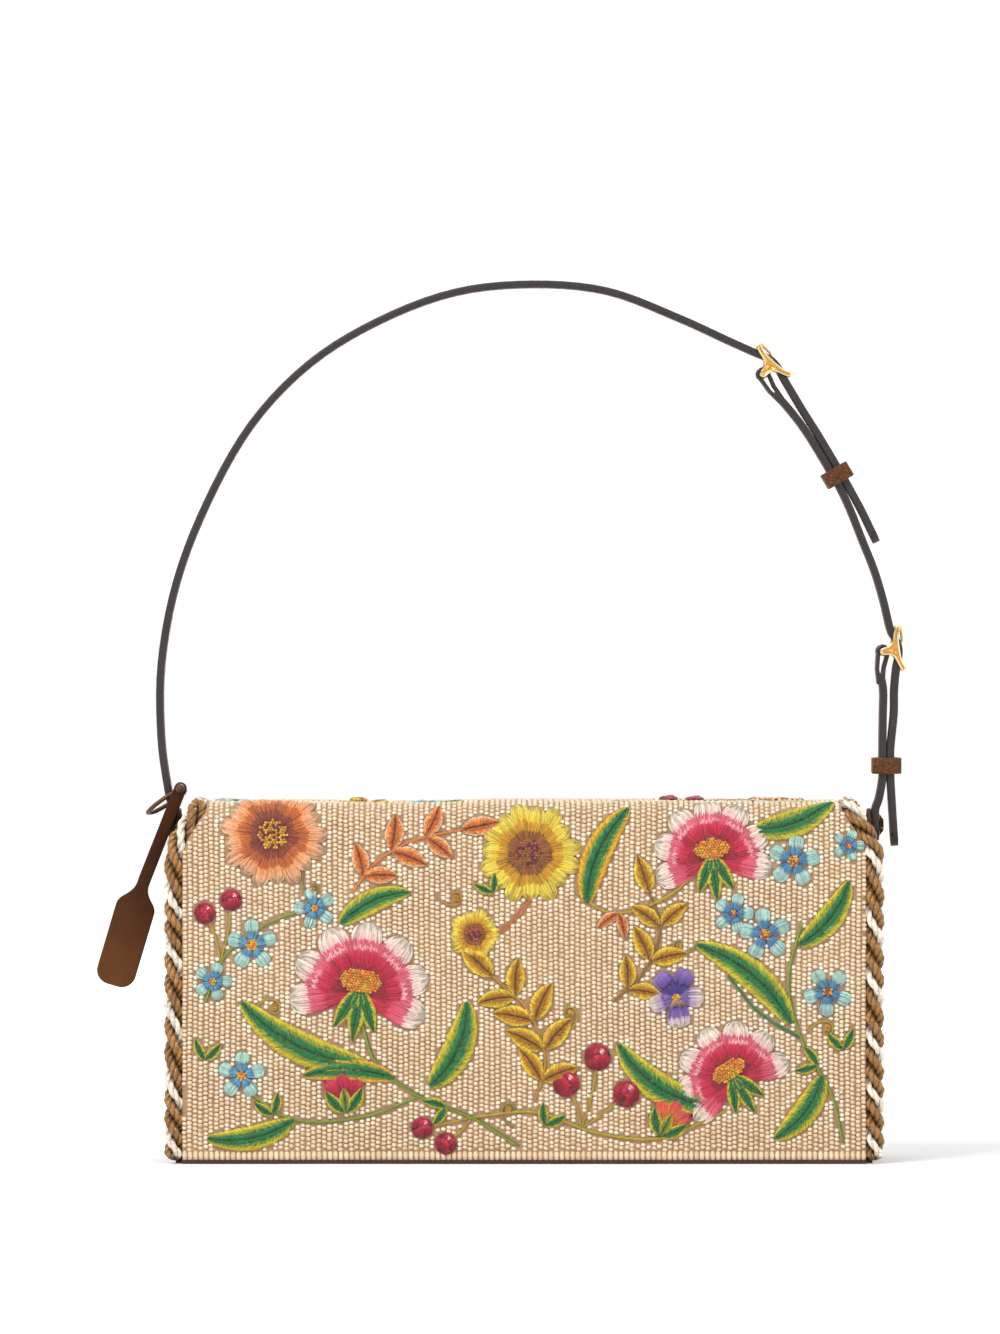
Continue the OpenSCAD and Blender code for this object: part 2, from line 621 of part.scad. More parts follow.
// A keeper: a leather band round both layers of the strap
module keeper(place, turn) {
    wide = strap_w + 2 * (run_gap + keeper_t);
    color("#7a4c2e") at_place(place, turn - 90) linear_extrude(keeper_len, center = true) difference() {
        round_box(keeper_h, wide, keeper_corner_r);
        round_box(keeper_h - 2 * keeper_t, wide - 2 * keeper_t, keeper_corner_r - keeper_t);
    }
}
module keeper_upper() keeper(keeper_upper_at, keeper_upper_turn);
module keeper_lower() keeper(keeper_lower_at, keeper_lower_turn);

// The lace: one closed loop round the strap, with its tied end through the tag's hole
lace_at = [arch_x * lace_share[0], 0, rivet_z + strap_rise * lace_share[1]];
tie = lace_at + lace_route[0];
tag_back_y = tie[1] - lace_d / 2 - run_gap / 2;
lace_across = [0.6, 0, -0.8];
lace_line = closed_spline(lace_route, 3);
module tag_lace() {
    color("#5a3520") {
        translate(lace_at) tube(lace_line, [for (p = lace_line) lace_d / 2], lace_across, 8, true);
        translate(tie) rotate([90, 0, 0]) cylinder(d = lace_d, h = lace_d / 2 + tag_t + run_gap + knot_d / 2);
        translate([tie[0], tag_back_y - tag_t - run_gap / 2 - knot_d / 2, tie[2]]) sphere(d = knot_d);
    }
}

// The tag: a stem with a hole, swelling to a rounded body
// One shoulder, as shares of the way out from the stem and of the shoulder's length
tag_shoulder_shares = [[0, -0.3], [0, 0], [0.12, 0.25], [0.42, 0.5], [0.78, 0.72], [0.97, 0.93], [1, 1.15]];
module tag_outline() {
    neck = tag_len - tag_body_len;
    foot_r = tag_w * 0.36;
    stem = tag_stem_w / 2;
    shoulder = [for (p = spline(tag_shoulder_shares, 3))
        [stem + (tag_w / 2 - stem) * p[0], -neck - tag_shoulder_len * p[1]]];
    foot = [for (a = [0 : -10 : -90]) [tag_w / 2 - foot_r * (1 - cos(a)), foot_r * (1 + sin(a)) - tag_len]];
    crown = [for (a = [80 : -10 : 0]) [stem * cos(a), stem * sin(a)]];
    side = concat(crown, shoulder, foot);
    difference() {
        polygon(concat([[0, stem]], side, [for (i = [len(side) - 1 : -1 : 0]) [-side[i][0], side[i][1]]]));
        circle(d = lace_d + 2 * lace_gap);
    }
}
module tag() {
    color("#5a3520") translate([tie[0], tag_back_y - tag_t / 2, tie[2]]) rotate([0, tag_lean, 0])
        upright(tag_t) tag_outline();
}

base_panel();
base_board();
back_cloth();
back_lining();
front_panel();
gusset_left();
gusset_right();
compartment_lining();
slip_pocket();
snap_socket();
strap_rivet_left();
strap_rivet_right();
rope_back_left();
rope_back_right();
flap_top_cloth();
flap_top_lining();
rope_top_left();
rope_top_right();
flap_front_cloth();
flap_front_lining();
rope_front_left();
rope_front_right();
snap_stud();
strap_long();
strap_middle();
strap_short();
buckle_upper();
buckle_lower();
prong_upper();
prong_lower();
keeper_upper();
keeper_lower();
tag_lace();
tag();
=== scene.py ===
"""Looks of a flap shoulder bag: beaded cloth, embroidery, twisted rope edges, leather, gold buckles."""

import functools
import json
import math

import bmesh
import bpy
import numpy as np
from bpy.props import FloatProperty, FloatVectorProperty, PointerProperty
from mathutils import Vector
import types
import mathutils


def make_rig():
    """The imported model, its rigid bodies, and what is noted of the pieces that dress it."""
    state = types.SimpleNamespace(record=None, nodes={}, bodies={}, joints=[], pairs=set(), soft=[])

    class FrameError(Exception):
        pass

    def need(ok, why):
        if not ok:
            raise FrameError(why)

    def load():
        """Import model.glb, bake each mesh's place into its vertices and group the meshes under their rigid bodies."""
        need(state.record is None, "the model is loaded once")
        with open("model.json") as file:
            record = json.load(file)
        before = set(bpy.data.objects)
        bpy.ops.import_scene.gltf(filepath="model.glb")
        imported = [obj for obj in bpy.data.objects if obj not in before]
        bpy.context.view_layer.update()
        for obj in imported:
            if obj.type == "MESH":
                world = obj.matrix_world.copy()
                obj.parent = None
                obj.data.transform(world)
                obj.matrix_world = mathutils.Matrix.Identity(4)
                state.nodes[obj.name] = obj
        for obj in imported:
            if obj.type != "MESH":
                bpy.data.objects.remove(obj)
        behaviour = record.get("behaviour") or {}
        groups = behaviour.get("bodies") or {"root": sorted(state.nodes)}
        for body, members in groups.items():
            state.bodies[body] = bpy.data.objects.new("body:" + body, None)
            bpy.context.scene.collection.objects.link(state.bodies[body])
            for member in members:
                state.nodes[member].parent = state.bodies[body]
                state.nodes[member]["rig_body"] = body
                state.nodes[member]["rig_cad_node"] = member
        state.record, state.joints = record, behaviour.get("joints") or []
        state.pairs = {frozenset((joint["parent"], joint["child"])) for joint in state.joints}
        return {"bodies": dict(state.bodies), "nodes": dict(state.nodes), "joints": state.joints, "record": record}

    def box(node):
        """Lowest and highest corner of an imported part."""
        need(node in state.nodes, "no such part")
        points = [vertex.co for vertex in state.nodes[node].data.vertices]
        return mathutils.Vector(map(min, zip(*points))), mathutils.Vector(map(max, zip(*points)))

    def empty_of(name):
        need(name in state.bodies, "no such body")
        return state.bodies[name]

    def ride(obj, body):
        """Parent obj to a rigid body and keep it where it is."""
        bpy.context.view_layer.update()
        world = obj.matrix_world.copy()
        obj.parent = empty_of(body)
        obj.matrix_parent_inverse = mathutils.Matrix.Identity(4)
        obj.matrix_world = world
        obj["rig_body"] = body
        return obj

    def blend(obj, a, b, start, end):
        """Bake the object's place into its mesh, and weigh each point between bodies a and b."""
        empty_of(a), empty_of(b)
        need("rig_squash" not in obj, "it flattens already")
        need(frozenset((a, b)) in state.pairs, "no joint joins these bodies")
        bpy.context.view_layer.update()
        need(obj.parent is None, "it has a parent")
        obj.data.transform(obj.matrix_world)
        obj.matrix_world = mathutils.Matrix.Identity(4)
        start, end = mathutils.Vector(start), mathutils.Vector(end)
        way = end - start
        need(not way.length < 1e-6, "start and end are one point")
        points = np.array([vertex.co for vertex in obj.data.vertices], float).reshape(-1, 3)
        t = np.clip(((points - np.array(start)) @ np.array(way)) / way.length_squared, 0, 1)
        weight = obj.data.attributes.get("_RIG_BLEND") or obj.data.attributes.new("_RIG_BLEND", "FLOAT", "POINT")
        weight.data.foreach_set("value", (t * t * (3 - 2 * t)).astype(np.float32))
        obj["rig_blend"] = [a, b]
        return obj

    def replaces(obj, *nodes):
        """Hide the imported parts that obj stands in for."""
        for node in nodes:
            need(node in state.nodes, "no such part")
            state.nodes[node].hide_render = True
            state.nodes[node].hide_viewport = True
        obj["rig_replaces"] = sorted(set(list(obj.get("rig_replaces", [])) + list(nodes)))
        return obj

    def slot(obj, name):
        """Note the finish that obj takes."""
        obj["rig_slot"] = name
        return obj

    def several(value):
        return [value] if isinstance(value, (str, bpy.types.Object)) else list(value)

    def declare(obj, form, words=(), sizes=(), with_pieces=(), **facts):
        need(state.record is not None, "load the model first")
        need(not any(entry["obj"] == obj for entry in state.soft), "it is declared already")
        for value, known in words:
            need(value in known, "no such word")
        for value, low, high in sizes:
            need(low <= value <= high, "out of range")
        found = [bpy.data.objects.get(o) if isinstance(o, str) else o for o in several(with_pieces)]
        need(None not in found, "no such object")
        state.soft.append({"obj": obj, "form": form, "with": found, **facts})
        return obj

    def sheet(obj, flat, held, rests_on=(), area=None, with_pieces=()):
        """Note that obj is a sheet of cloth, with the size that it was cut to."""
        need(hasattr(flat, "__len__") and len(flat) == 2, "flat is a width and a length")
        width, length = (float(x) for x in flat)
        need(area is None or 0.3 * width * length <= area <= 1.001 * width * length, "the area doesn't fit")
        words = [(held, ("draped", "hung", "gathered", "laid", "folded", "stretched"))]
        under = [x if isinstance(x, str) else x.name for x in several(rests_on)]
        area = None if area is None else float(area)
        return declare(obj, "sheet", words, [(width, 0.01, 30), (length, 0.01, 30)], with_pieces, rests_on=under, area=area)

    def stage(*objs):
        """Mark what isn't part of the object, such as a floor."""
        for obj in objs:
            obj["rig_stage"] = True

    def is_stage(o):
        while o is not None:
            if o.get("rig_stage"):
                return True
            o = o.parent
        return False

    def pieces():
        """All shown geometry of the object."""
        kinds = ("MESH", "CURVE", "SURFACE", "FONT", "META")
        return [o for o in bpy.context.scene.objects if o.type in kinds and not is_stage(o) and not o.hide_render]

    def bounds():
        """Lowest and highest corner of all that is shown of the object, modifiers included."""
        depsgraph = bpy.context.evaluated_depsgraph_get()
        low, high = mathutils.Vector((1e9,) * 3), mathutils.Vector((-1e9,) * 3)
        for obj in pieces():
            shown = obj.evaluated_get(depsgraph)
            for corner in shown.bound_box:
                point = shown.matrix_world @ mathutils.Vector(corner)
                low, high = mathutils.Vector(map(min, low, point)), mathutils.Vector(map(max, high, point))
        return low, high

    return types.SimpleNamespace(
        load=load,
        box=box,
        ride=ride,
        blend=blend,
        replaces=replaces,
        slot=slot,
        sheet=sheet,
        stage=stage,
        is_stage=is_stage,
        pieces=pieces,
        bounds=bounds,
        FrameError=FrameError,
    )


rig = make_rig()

bl_info = {
    "name": "Beaded flap bag",
    "version": (1, 0, 0),
    "blender": (4, 5, 0),
    "location": "3D View > Sidebar > Bag",
    "description": "Builds a beaded and embroidered flap shoulder bag round its packed frame",
    "category": "Object",
}

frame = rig.load()
CAD_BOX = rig.bounds()
MM = 0.001

# Sizes that the frame gives, in millimetres
FLAP_LOW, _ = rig.box("flap_front_cloth")
_, ROPE_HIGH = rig.box("rope_front_right")
TOP_ROPE_LOW, TOP_ROPE_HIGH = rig.box("rope_top_right")
FOOT = FLAP_LOW.z / MM
BEAD_RISE = 0.8
FACE = -FLAP_LOW.y / MM - BEAD_RISE
ROPE_R = (TOP_ROPE_HIGH.x - TOP_ROPE_LOW.x) / MM / 2
FOLD_Y = TOP_ROPE_HIGH.y / MM - ROPE_R
FOLD_Z = TOP_ROPE_HIGH.z / MM - ROPE_R
ROPE_X = ROPE_HIGH.x / MM - ROPE_R
ROPE_TOP_X = TOP_ROPE_HIGH.x / MM - ROPE_R

# Sizes that the CAD has too: the width of the tag's stem and its lean in degrees, the ropes' lean and the
# radius of their bend, and half the cloth's width
TAG_STEM, TAG_LEAN = 4.8, 19.5
ROPE_LEAN, ROPE_BEND_R = math.radians(32), 16
HALF_CLOTH = 131

# How long the leaning part of a rope is, and the height at which it starts to bend
LEAN_LEN = (ROPE_X - ROPE_TOP_X - ROPE_BEND_R * (1 - math.cos(ROPE_LEAN))) / math.sin(ROPE_LEAN)
BEND_Z = FOLD_Z - LEAN_LEN * math.cos(ROPE_LEAN) - ROPE_BEND_R * math.sin(ROPE_LEAN)

# How far the cloth's edge lies inside the middle of the rope, on the sides and on the top
SIDE_GAP, TOP_GAP = 2.9, 3.1

# The cloth's run: up the front, over the top and down the back, with a soft bend at each fold
BEND = 6.5
TOP_Z = FOLD_Z + FACE - FOLD_Y
FLAT = TOP_Z - BEND - FOOT
ARC = math.pi / 2 * BEND
TOP = 2 * (FACE - BEND)
RUN = 2 * FLAT + 2 * ARC + TOP
MIDDLE = RUN / 2


def lin(code, gain=1.0):
    """A written colour, such as e0b030, as linear light; linear light stays as it is."""
    if not isinstance(code, str):
        return [gain * c for c in code]
    parts = [int(code[i : i + 2], 16) / 255 for i in (0, 2, 4)]
    return [gain * (c / 12.92 if c <= 0.04045 else ((c + 0.055) / 1.055) ** 2.4) for c in parts]


def smooth(a, b, x):
    t = np.clip((np.asarray(x, float) - a) / (b - a), 0, 1)
    return t * t * (3 - 2 * t)


def lengths(line):
    """How far each point of a line lies along it."""
    return np.concatenate([[0], np.cumsum(np.linalg.norm(np.diff(line, axis=0), axis=1))])


# The cloth's surface


def profile(s):
    """Place and outward direction in the side plane, for runs s from the front hem."""
    s = np.asarray(s, float)
    back = s > MIDDLE
    q = np.where(back, RUN - s, s)
    turn = np.clip((q - FLAT) / BEND, 0, math.pi / 2)
    over = np.clip(q - FLAT - ARC, 0, None)
    y = BEND - FACE - BEND * np.cos(turn) + over
    z = np.where(q < FLAT, FOOT + q, TOP_Z - BEND + BEND * np.sin(turn))
    ny, nz = -np.cos(turn), np.sin(turn)
    return np.where(back, -y, y), z, np.where(back, -ny, ny), nz


def rope_x_at(z):
    """The side rope's middle at height z, seen from the front."""
    z = np.asarray(z, float)
    up = np.clip(z - BEND_Z, 0, ROPE_BEND_R * math.sin(ROPE_LEAN))
    bent = ROPE_X - ROPE_BEND_R + np.sqrt(ROPE_BEND_R**2 - up**2)
    lean = np.clip(z - BEND_Z - ROPE_BEND_R * math.sin(ROPE_LEAN), 0, FOLD_Z)
    return np.maximum(bent - lean * math.tan(ROPE_LEAN), ROPE_TOP_X)


def half_width(s):
    _, z, _, nz = profile(s)
    side = rope_x_at(z) - SIDE_GAP
    return side + (ROPE_TOP_X - TOP_GAP - side) * smooth(0.2, 1, nz)


def swell(x, s):
    """How far the soft cloth stands out from its flat pattern, and how far its top lies up or down."""
    y, z, _, nz = profile(s)
    across = 1 - (np.abs(x) / HALF_CLOTH) ** 3
    high = np.clip((z - FOOT) / FLAT, 0, 1)
    out = 1.15 * across * np.sin(math.pi * high**0.8) ** 0.8
    out = out + 0.5 * across * np.sin(x * 0.043 + 1.1) * np.sin(z * 0.05 + 0.6)
    out = out + 0.22 * np.sin(x * 0.11 + z * 0.035) * np.sin(math.pi * high)
    out = out * (1 - smooth(0.05, 0.9, nz))
    dip = -1.6 * across * np.clip(1 - (y / 18) ** 2, 0, 1) ** 1.2
    wave = 0.34 * np.sin(x * 0.031 + 0.5) + 0.16 * np.sin(x * 0.083 + 2.0) - 0.35 * across
    return out, dip * smooth(0.1, 0.9, nz) + wave * smooth(-0.2, 0.9, nz) * smooth(118, 134, z)


def place(x, s, h):
    """Points on the cloth at x, run s and height h over it."""
    x, s, h = np.broadcast_arrays(np.asarray(x, float), np.asarray(s, float), np.asarray(h, float))
    y, z, ny, nz = profile(s)
    out, lift = swell(x, s)
    low = np.clip(s, None, 0) + np.clip(RUN - s, None, 0)
    return np.stack([x, y + ny * (h + out), z + nz * (h + out) + lift + low], -1)


def outward(s):
    _, _, ny, nz = profile(s)
    return np.stack([np.zeros_like(ny), ny, nz], -1)


# Meshes


def linked(name, data):
    obj = bpy.data.objects.new(name, data)
    bpy.context.scene.collection.objects.link(obj)
    return obj


def put_all(items, key, values, kind=np.float32):
    items.foreach_set(key, np.asarray(values).astype(kind).ravel())


def mesh_of(name, points, loops, starts, tints, uvs):
    """A smooth mesh object from points in millimetres, corner by corner."""
    me = bpy.data.meshes.new(name)
    me.vertices.add(len(points))
    put_all(me.vertices, "co", np.asarray(points) * MM)
    me.loops.add(len(loops))
    me.polygons.add(len(starts))
    put_all(me.polygons, "loop_start", starts, np.int32)
    put_all(me.loops, "vertex_index", loops, np.int32)
    me.update(calc_edges=True)
    me.validate()
    rgba = np.ones((len(points), 4), np.float32)
    rgba[:, :3] = tints
    put_all(me.color_attributes.new("tint", "FLOAT_COLOR", "POINT").data, "color", rgba)
    put_all(me.uv_layers.new(name="run").data, "uv", uvs)
    me.shade_smooth()
    return linked(name, me)


def from_bmesh(name, bm, flat_angle=None):
    me = bpy.data.meshes.new(name)
    bm.to_mesh(me)
    bm.free()
    me.shade_smooth()
    if flat_angle:
        me.set_sharp_from_angle(angle=math.radians(flat_angle))
    return linked(name, me)


def repeated(name, shape, points, tints, runs=None):
    """Copies of a small shape as one piece: points is copies by corners by 3."""
    base, starts = shape
    n, k, m = len(points), points.shape[1], len(base)
    loops = (base[None, :] + k * np.arange(n)[:, None]).ravel()
    every = (starts[None, :] + m * np.arange(n)[:, None]).ravel()
    shades = np.repeat(tints, k, 0) if tints.ndim == 2 else tints.reshape(-1, 3)
    uvs = np.zeros((len(loops), 2)) if runs is None else runs.reshape(-1, 2)[loops]
    return mesh_of(name, points.reshape(-1, 3), loops, every, shades, uvs)


def net(rows, tints=None, long=1):
    """Points, corners, face starts, tints and run of a closed tube through rows of points."""
    n, m = rows.shape[:2]
    i, k = np.meshgrid(np.arange(n - 1), np.arange(m), indexing="ij")
    k2 = (k + 1) % m
    quads = np.stack([i * m + k, i * m + k2, (i + 1) * m + k2, (i + 1) * m + k], -1).reshape(-1, 4)
    u, u2, v, v2 = i / (n - 1) * long, (i + 1) / (n - 1) * long, k / m, (k + 1) / m
    uv = np.stack([u, v, u, v2, u2, v2, u2, v], -1).reshape(-1, 2)
    loops = np.concatenate([quads.ravel(), np.arange(m)[::-1], (n - 1) * m + np.arange(m)])
    starts = np.concatenate([np.arange(len(quads)) * 4, [len(quads) * 4, len(quads) * 4 + m]])
    if tints is not None:
        tints = tints.reshape(-1, 3) if tints.ndim == 3 else np.repeat(tints, m, 0)
    return rows.reshape(-1, 3), loops, starts, tints, np.concatenate([uv, np.zeros((2 * m, 2))])


def joined(name, nets):
    """One piece from several nets."""
    points, loops, starts, tints, uvs = zip(*nets)
    ahead = np.cumsum([0] + [len(p) for p in points])
    corners = np.cumsum([0] + [len(c) for c in loops])
    loops = [c + n for c, n in zip(loops, ahead)]
    starts = [f + n for f, n in zip(starts, corners)]
    return mesh_of(name, *(np.concatenate(v) for v in (points, loops, starts, tints, uvs)))


def frames(line):
    """Two directions across a line at each point, turning as little as they can."""
    way = np.gradient(line, axis=0)
    way /= np.linalg.norm(way, axis=1)[:, None]
    side = np.zeros_like(line)
    v = np.array([1.0, 0, 0])
    for i, t in enumerate(way):
        v = v - t * (v @ t)
        v /= np.linalg.norm(v)
        side[i] = v
    return side, np.cross(way, side)


def around(a, b, turn):
    """The direction at an angle between the directions a and b."""
    return np.cos(turn)[..., None] * a + np.sin(turn)[..., None] * b


def box_axes(name):
    low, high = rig.box(name)
    return low / MM, high / MM


# Materials


class Tree:
    """A short way to lay out a material's or a group's nodes."""

    def __init__(self, tree):
        self.tree = tree

    def put(self, node, key, value):
        socket = node.inputs[key.replace("_", " ") if isinstance(key, str) else key]
        if isinstance(value, bpy.types.NodeSocket):
            self.tree.links.new(value, socket)
        else:
            socket.default_value = value

    def add(self, kind, *first, **given):
        """A node with its first sockets, then its options and its named sockets."""
        node = self.tree.nodes.new("ShaderNode" + kind)
        options = [key for key in given if hasattr(node, key)]
        for key in options:
            setattr(node, key, given.pop(key))
        for key, value in (*enumerate(first), *given.items()):
            self.put(node, key, value)
        return node

    def out(self, kind, *first, **given):
        return self.add(kind, *first, **given).outputs[0]

    def math(self, how, *values):
        return self.out("Math", *values, operation=how)

    def times(self, a, b):
        return self.math("MULTIPLY", a, b)

    def mix(self, share, a, b):
        node = self.add("Mix", share, data_type="RGBA")
        for key, value in ((6, a), (7, b)):
            self.put(node, key, value if isinstance(value, bpy.types.NodeSocket) else (*value, 1))
        return node.outputs[2]

    def span(self, value, *ends):
        return self.out("MapRange", value, *ends)

    def scaled(self, vector, gain):
        return self.out("VectorMath", vector, operation="SCALE", Scale=gain)

    def coords(self, scale=(1, 1, 1), uv=None):
        place = self.out("UVMap", uv_map=uv) if uv else self.add("TexCoord").outputs["Object"]
        return self.out("Mapping", Vector=place, Scale=scale)

    def split(self, vector):
        return self.add("SeparateXYZ", vector).outputs

    def noise(self, coords, scale, detail=2.0, rough=0.5):
        return self.out("TexNoise", Vector=coords, Scale=scale, Detail=detail, Roughness=rough)

    def use(self, group, **given):
        return self.add("Group", node_tree=group(), **given).outputs

    def tone(self, colour, scale, amount, coords=None):
        """A colour with slow changes of tone, and the tone."""
        if not isinstance(colour, bpy.types.NodeSocket):
            colour = (*lin(colour), 1)
        return self.use(mottle, Vector=coords or self.coords(), Scale=scale, Colour=colour, Amount=amount)


def shared(name, gives, **takes):
    """Makes a function that lays out nodes into one that gives its node group, built once."""
    kinds = {float: "NodeSocketFloat", tuple: "NodeSocketColor", type(None): "NodeSocketVector"}

    def wrap(lay_out):
        def group():
            if name in bpy.data.node_groups:
                return bpy.data.node_groups[name]
            made = bpy.data.node_groups.new(name, "ShaderNodeTree")
            for key, value in takes.items():
                socket = made.interface.new_socket(key, in_out="INPUT", socket_type=kinds[type(value)])
                if value is not None:
                    socket.default_value = value
            for key in gives:
                kind = kinds[tuple if key == "Colour" else float]
                made.interface.new_socket(key, in_out="OUTPUT", socket_type=kind)
            t = Tree(made)
            given = t.tree.nodes.new("NodeGroupInput").outputs
            end = t.tree.nodes.new("NodeGroupOutput")
            for key, socket in zip(gives, lay_out(t, *(given[key] for key in takes))):
                t.put(end, key, socket)
            return made

        return group

    return wrap


@shared("Leather grain", ("Height", "Creases"), Vector=None, Scale=1400.0, Crease=0.5)
def grain(t, vector, scale, crease):
    """Leather grain: small pebbles with creases between them."""
    warp = t.add("TexNoise", Vector=vector, Scale=500).outputs["Color"]
    bent = t.out("VectorMath", warp, (0.0009, 0.0009, 0.0009), vector, operation="MULTIPLY_ADD")
    cells = t.add("TexVoronoi", feature="DISTANCE_TO_EDGE", Vector=bent, Scale=scale)
    edge = t.span(cells.outputs["Distance"], 0.0, 0.22, 0.0, 1.0)
    height = t.math("ADD", t.times(edge, crease), t.times(t.noise(vector, 5200, 3), 0.3))
    return height, t.math("SUBTRACT", 1.0, edge)


@shared("Tone changes", ("Colour", "Tone"), Vector=None, Scale=30.0, Colour=(0.5, 0.5, 0.5, 1), Amount=0.15)
def mottle(t, vector, scale, colour, amount):
    """Slow changes of tone over a surface."""
    tone = t.span(t.out("TexNoise", Vector=vector, Scale=scale, Detail=4), 0.3, 0.7, -1.0, 1.0)
    return t.scaled(colour, t.math("MULTIPLY_ADD", tone, amount, 1.0)), tone


@shared("Plain weave", ("Height", "Gaps"), Vector=None, Threads=1800.0)
def weave(t, vector, threads):
    """Plain weave of threads, over and under, on two axes of the given vector."""
    runs = [t.times(axis, threads) for axis in t.split(vector)[:2]]
    sines = [t.math("SINE", t.times(run, math.pi)) for run in runs]
    over = t.math("GREATER_THAN", t.times(*(t.math("SINE", t.times(run, math.pi / 2)) for run in runs)), 0.0)
    warp, weft = (
        t.times(t.math("ABSOLUTE", sine), t.math("MULTIPLY_ADD", over, gain, base))
        for sine, gain, base in zip(sines, (0.5, -0.5), (0.5, 1.0))
    )
    height = t.math("MAXIMUM", warp, weft)
    return height, t.math("SUBTRACT", 1.0, height)


@shared("Thread fibres", ("Height", "Streaks"), Along=1.0, Around=1.0, Twist=1.0, Count=8.0)
def fibres(t, along, around_it, twist, count):
    """Fine fibres that run along a thread and turn round it."""
    turn = t.math("MULTIPLY_ADD", along, twist, around_it)
    ridge = t.span(t.math("SINE", t.times(turn, t.times(count, 2 * math.pi))), -1, 1, 0, 1)
    vector = t.out("CombineXYZ", t.times(turn, count), t.times(along, 0.35))
    return ridge, t.noise(vector, 2.3, 3, 0.6)


def material(name):
    mat = bpy.data.materials.new(name)
    mat.use_nodes = True
    return mat, Tree(mat.node_tree)


def surface(mat, t, colour, rough, height=None, depth=0.0, **fixed):
    """Sets a material's colour, roughness, relief with its depth in millimetres, and even values."""
    shader = mat.node_tree.nodes["Principled BSDF"]
    for key, value in (("Base Color", colour), ("Roughness", rough), *fixed.items()):
        t.put(shader, key, value)
    if height:
        t.put(shader, "Normal", t.out("Bump", Height=height, Distance=depth * MM, Strength=1.0))
    return mat


def tint_colour(t):
    return t.out("VertexColor", layer_name="tint")


def leather(
    name, code, scale, rough, amount=0.2, coat=0.1, crease=0.45, depth=0.12, worn=None, blotch=60.0, shine=0.3
):
    """Grained leather, with tone changes and painted shade that darkens its creases; an optional paler colour for wear
    comes with its heights.
    """
    mat, t = material(name)
    co = t.coords()
    pebbles = t.use(grain, Vector=co, Scale=scale)
    main, tone = t.tone(code, blotch, amount, co)
    if worn:
        patch = t.span(t.split(co)[2], worn[1] * MM, worn[2] * MM, 0.9, 0.0)
        main = t.mix(t.math("ADD", patch, t.times(tone, 0.1)), main, lin(worn[0]))
    # Painted shade: the grain's creases darken towards 0.45 of the colour, by the crease share.
    dark = t.mix(t.times(pebbles["Creases"], crease), main, lin(code, 0.45))
    dull = t.span(pebbles["Creases"], 0, 1, rough, min(1, rough + 0.25))
    values = {"Specular_IOR_Level": shine, "Coat_Weight": coat, "Coat_Roughness": 0.16}
    return surface(mat, t, dark, dull, pebbles["Height"], depth, **values)


def edge_paint_and_highlight(name, code):
    """The sealed edge of a leather strap: smooth paint with slight waves; the keepers' rims use it for a paler painted
    highlight.
    """
    mat, t = material(name)
    co = t.coords()
    fine = t.noise(co, 1200, 3)
    return surface(mat, t, t.tone(code, 90.0, 0.14, co)[0], t.span(fine, 0.3, 0.7, 0.42, 0.58), fine, 0.05)


def gold(name, code, rough=0.1):
    """Gold-coloured metal with faint brushing and dulled patches."""
    mat, t = material(name)
    scratches = t.noise(t.coords((1, 9, 1)), 1800, 4, 0.65)
    dull = t.span(scratches, 0.25, 0.75, rough, rough + 0.12)
    return surface(mat, t, t.tone(code, 220.0, 0.06)[0], dull, scratches, 0.012, Metallic=1.0)


def woven(name, code, threads, rough, gap, walls=False):
    """Woven cloth on its run, or on upright walls that stand along x or y, with painted shade in the gaps between its
    threads.
    """
    mat, t = material(name)
    if walls:
        x, y, z = t.split(t.coords())
        uv = t.out("CombineXYZ", t.math("ADD", x, y), z)
    else:
        uv = t.coords(uv="run")
    threads = t.use(weave, Vector=uv, Threads=threads)
    # Painted shade: the gaps between the threads darken towards 0.35 of the colour, by the gap share.
    colour = t.mix(t.times(threads["Gaps"], gap), t.tone(code, 45.0, 0.14)[0], lin(code, 0.35))
    return surface(mat, t, colour, rough, threads["Height"], 0.12, Sheen_Weight=0.25, Sheen_Roughness=0.5)


def bead_material():
    """Glazed beads, each with its own tone."""
    mat, t = material("bead_glaze")
    co = t.coords()
    fine = t.noise(co, 2600, 2)
    values = {"Specular_IOR_Level": 0.35, "Coat_Weight": 0.06, "Coat_Roughness": 0.3}
    colour = t.tone(tint_colour(t), 900.0, 0.07, co)[0]
    return surface(mat, t, colour, t.span(fine, 0.3, 0.7, 0.42, 0.6), fine, 0.02, **values)


def thread_material(name, rough=0.5, sheen=0.35, twist=0.9, count=3.0, distance=0.05, low=0.72, high=1.28):
    """Embroidery or rope yarn: its tint, with fibres twisted along it."""
    mat, t = material(name)
    run = t.split(t.coords(uv="run"))
    ridge, streaks = t.use(fibres, Along=run[0], Around=run[1], Twist=twist, Count=count)
    colour = t.scaled(tint_colour(t), t.span(streaks, 0.25, 0.75, low, high))
    return surface(mat, t, colour, rough, ridge, distance, Sheen_Weight=sheen, Sheen_Roughness=0.4)


# The embroidery's design

GOLD, MUSTARD, OCHRE = "dda71c", "bd8413", "8f5f12"
WINE, CRIMSON, ROSE, PINK, BLUSH = "6a0c26", "b31030", "d02c50", "e8798c", "f4c3c0"
GREEN, LEAF, LIME, YELLOW = "1b7a48", "116a2c", "a3a722", "dcc12a"
PALE, SKY, BLUE, RUST, ORANGE = "a9cdc3", "5d9dc0", "2f6da6", "a34e2a", "dd7a2a"
LILAC, VIOLET, WHITE = "9a78bb", "4a3088", "f1e4d2"
THREAD_PITCH = 0.42
SHARE = np.linspace(0, 1, 5)[None, :]


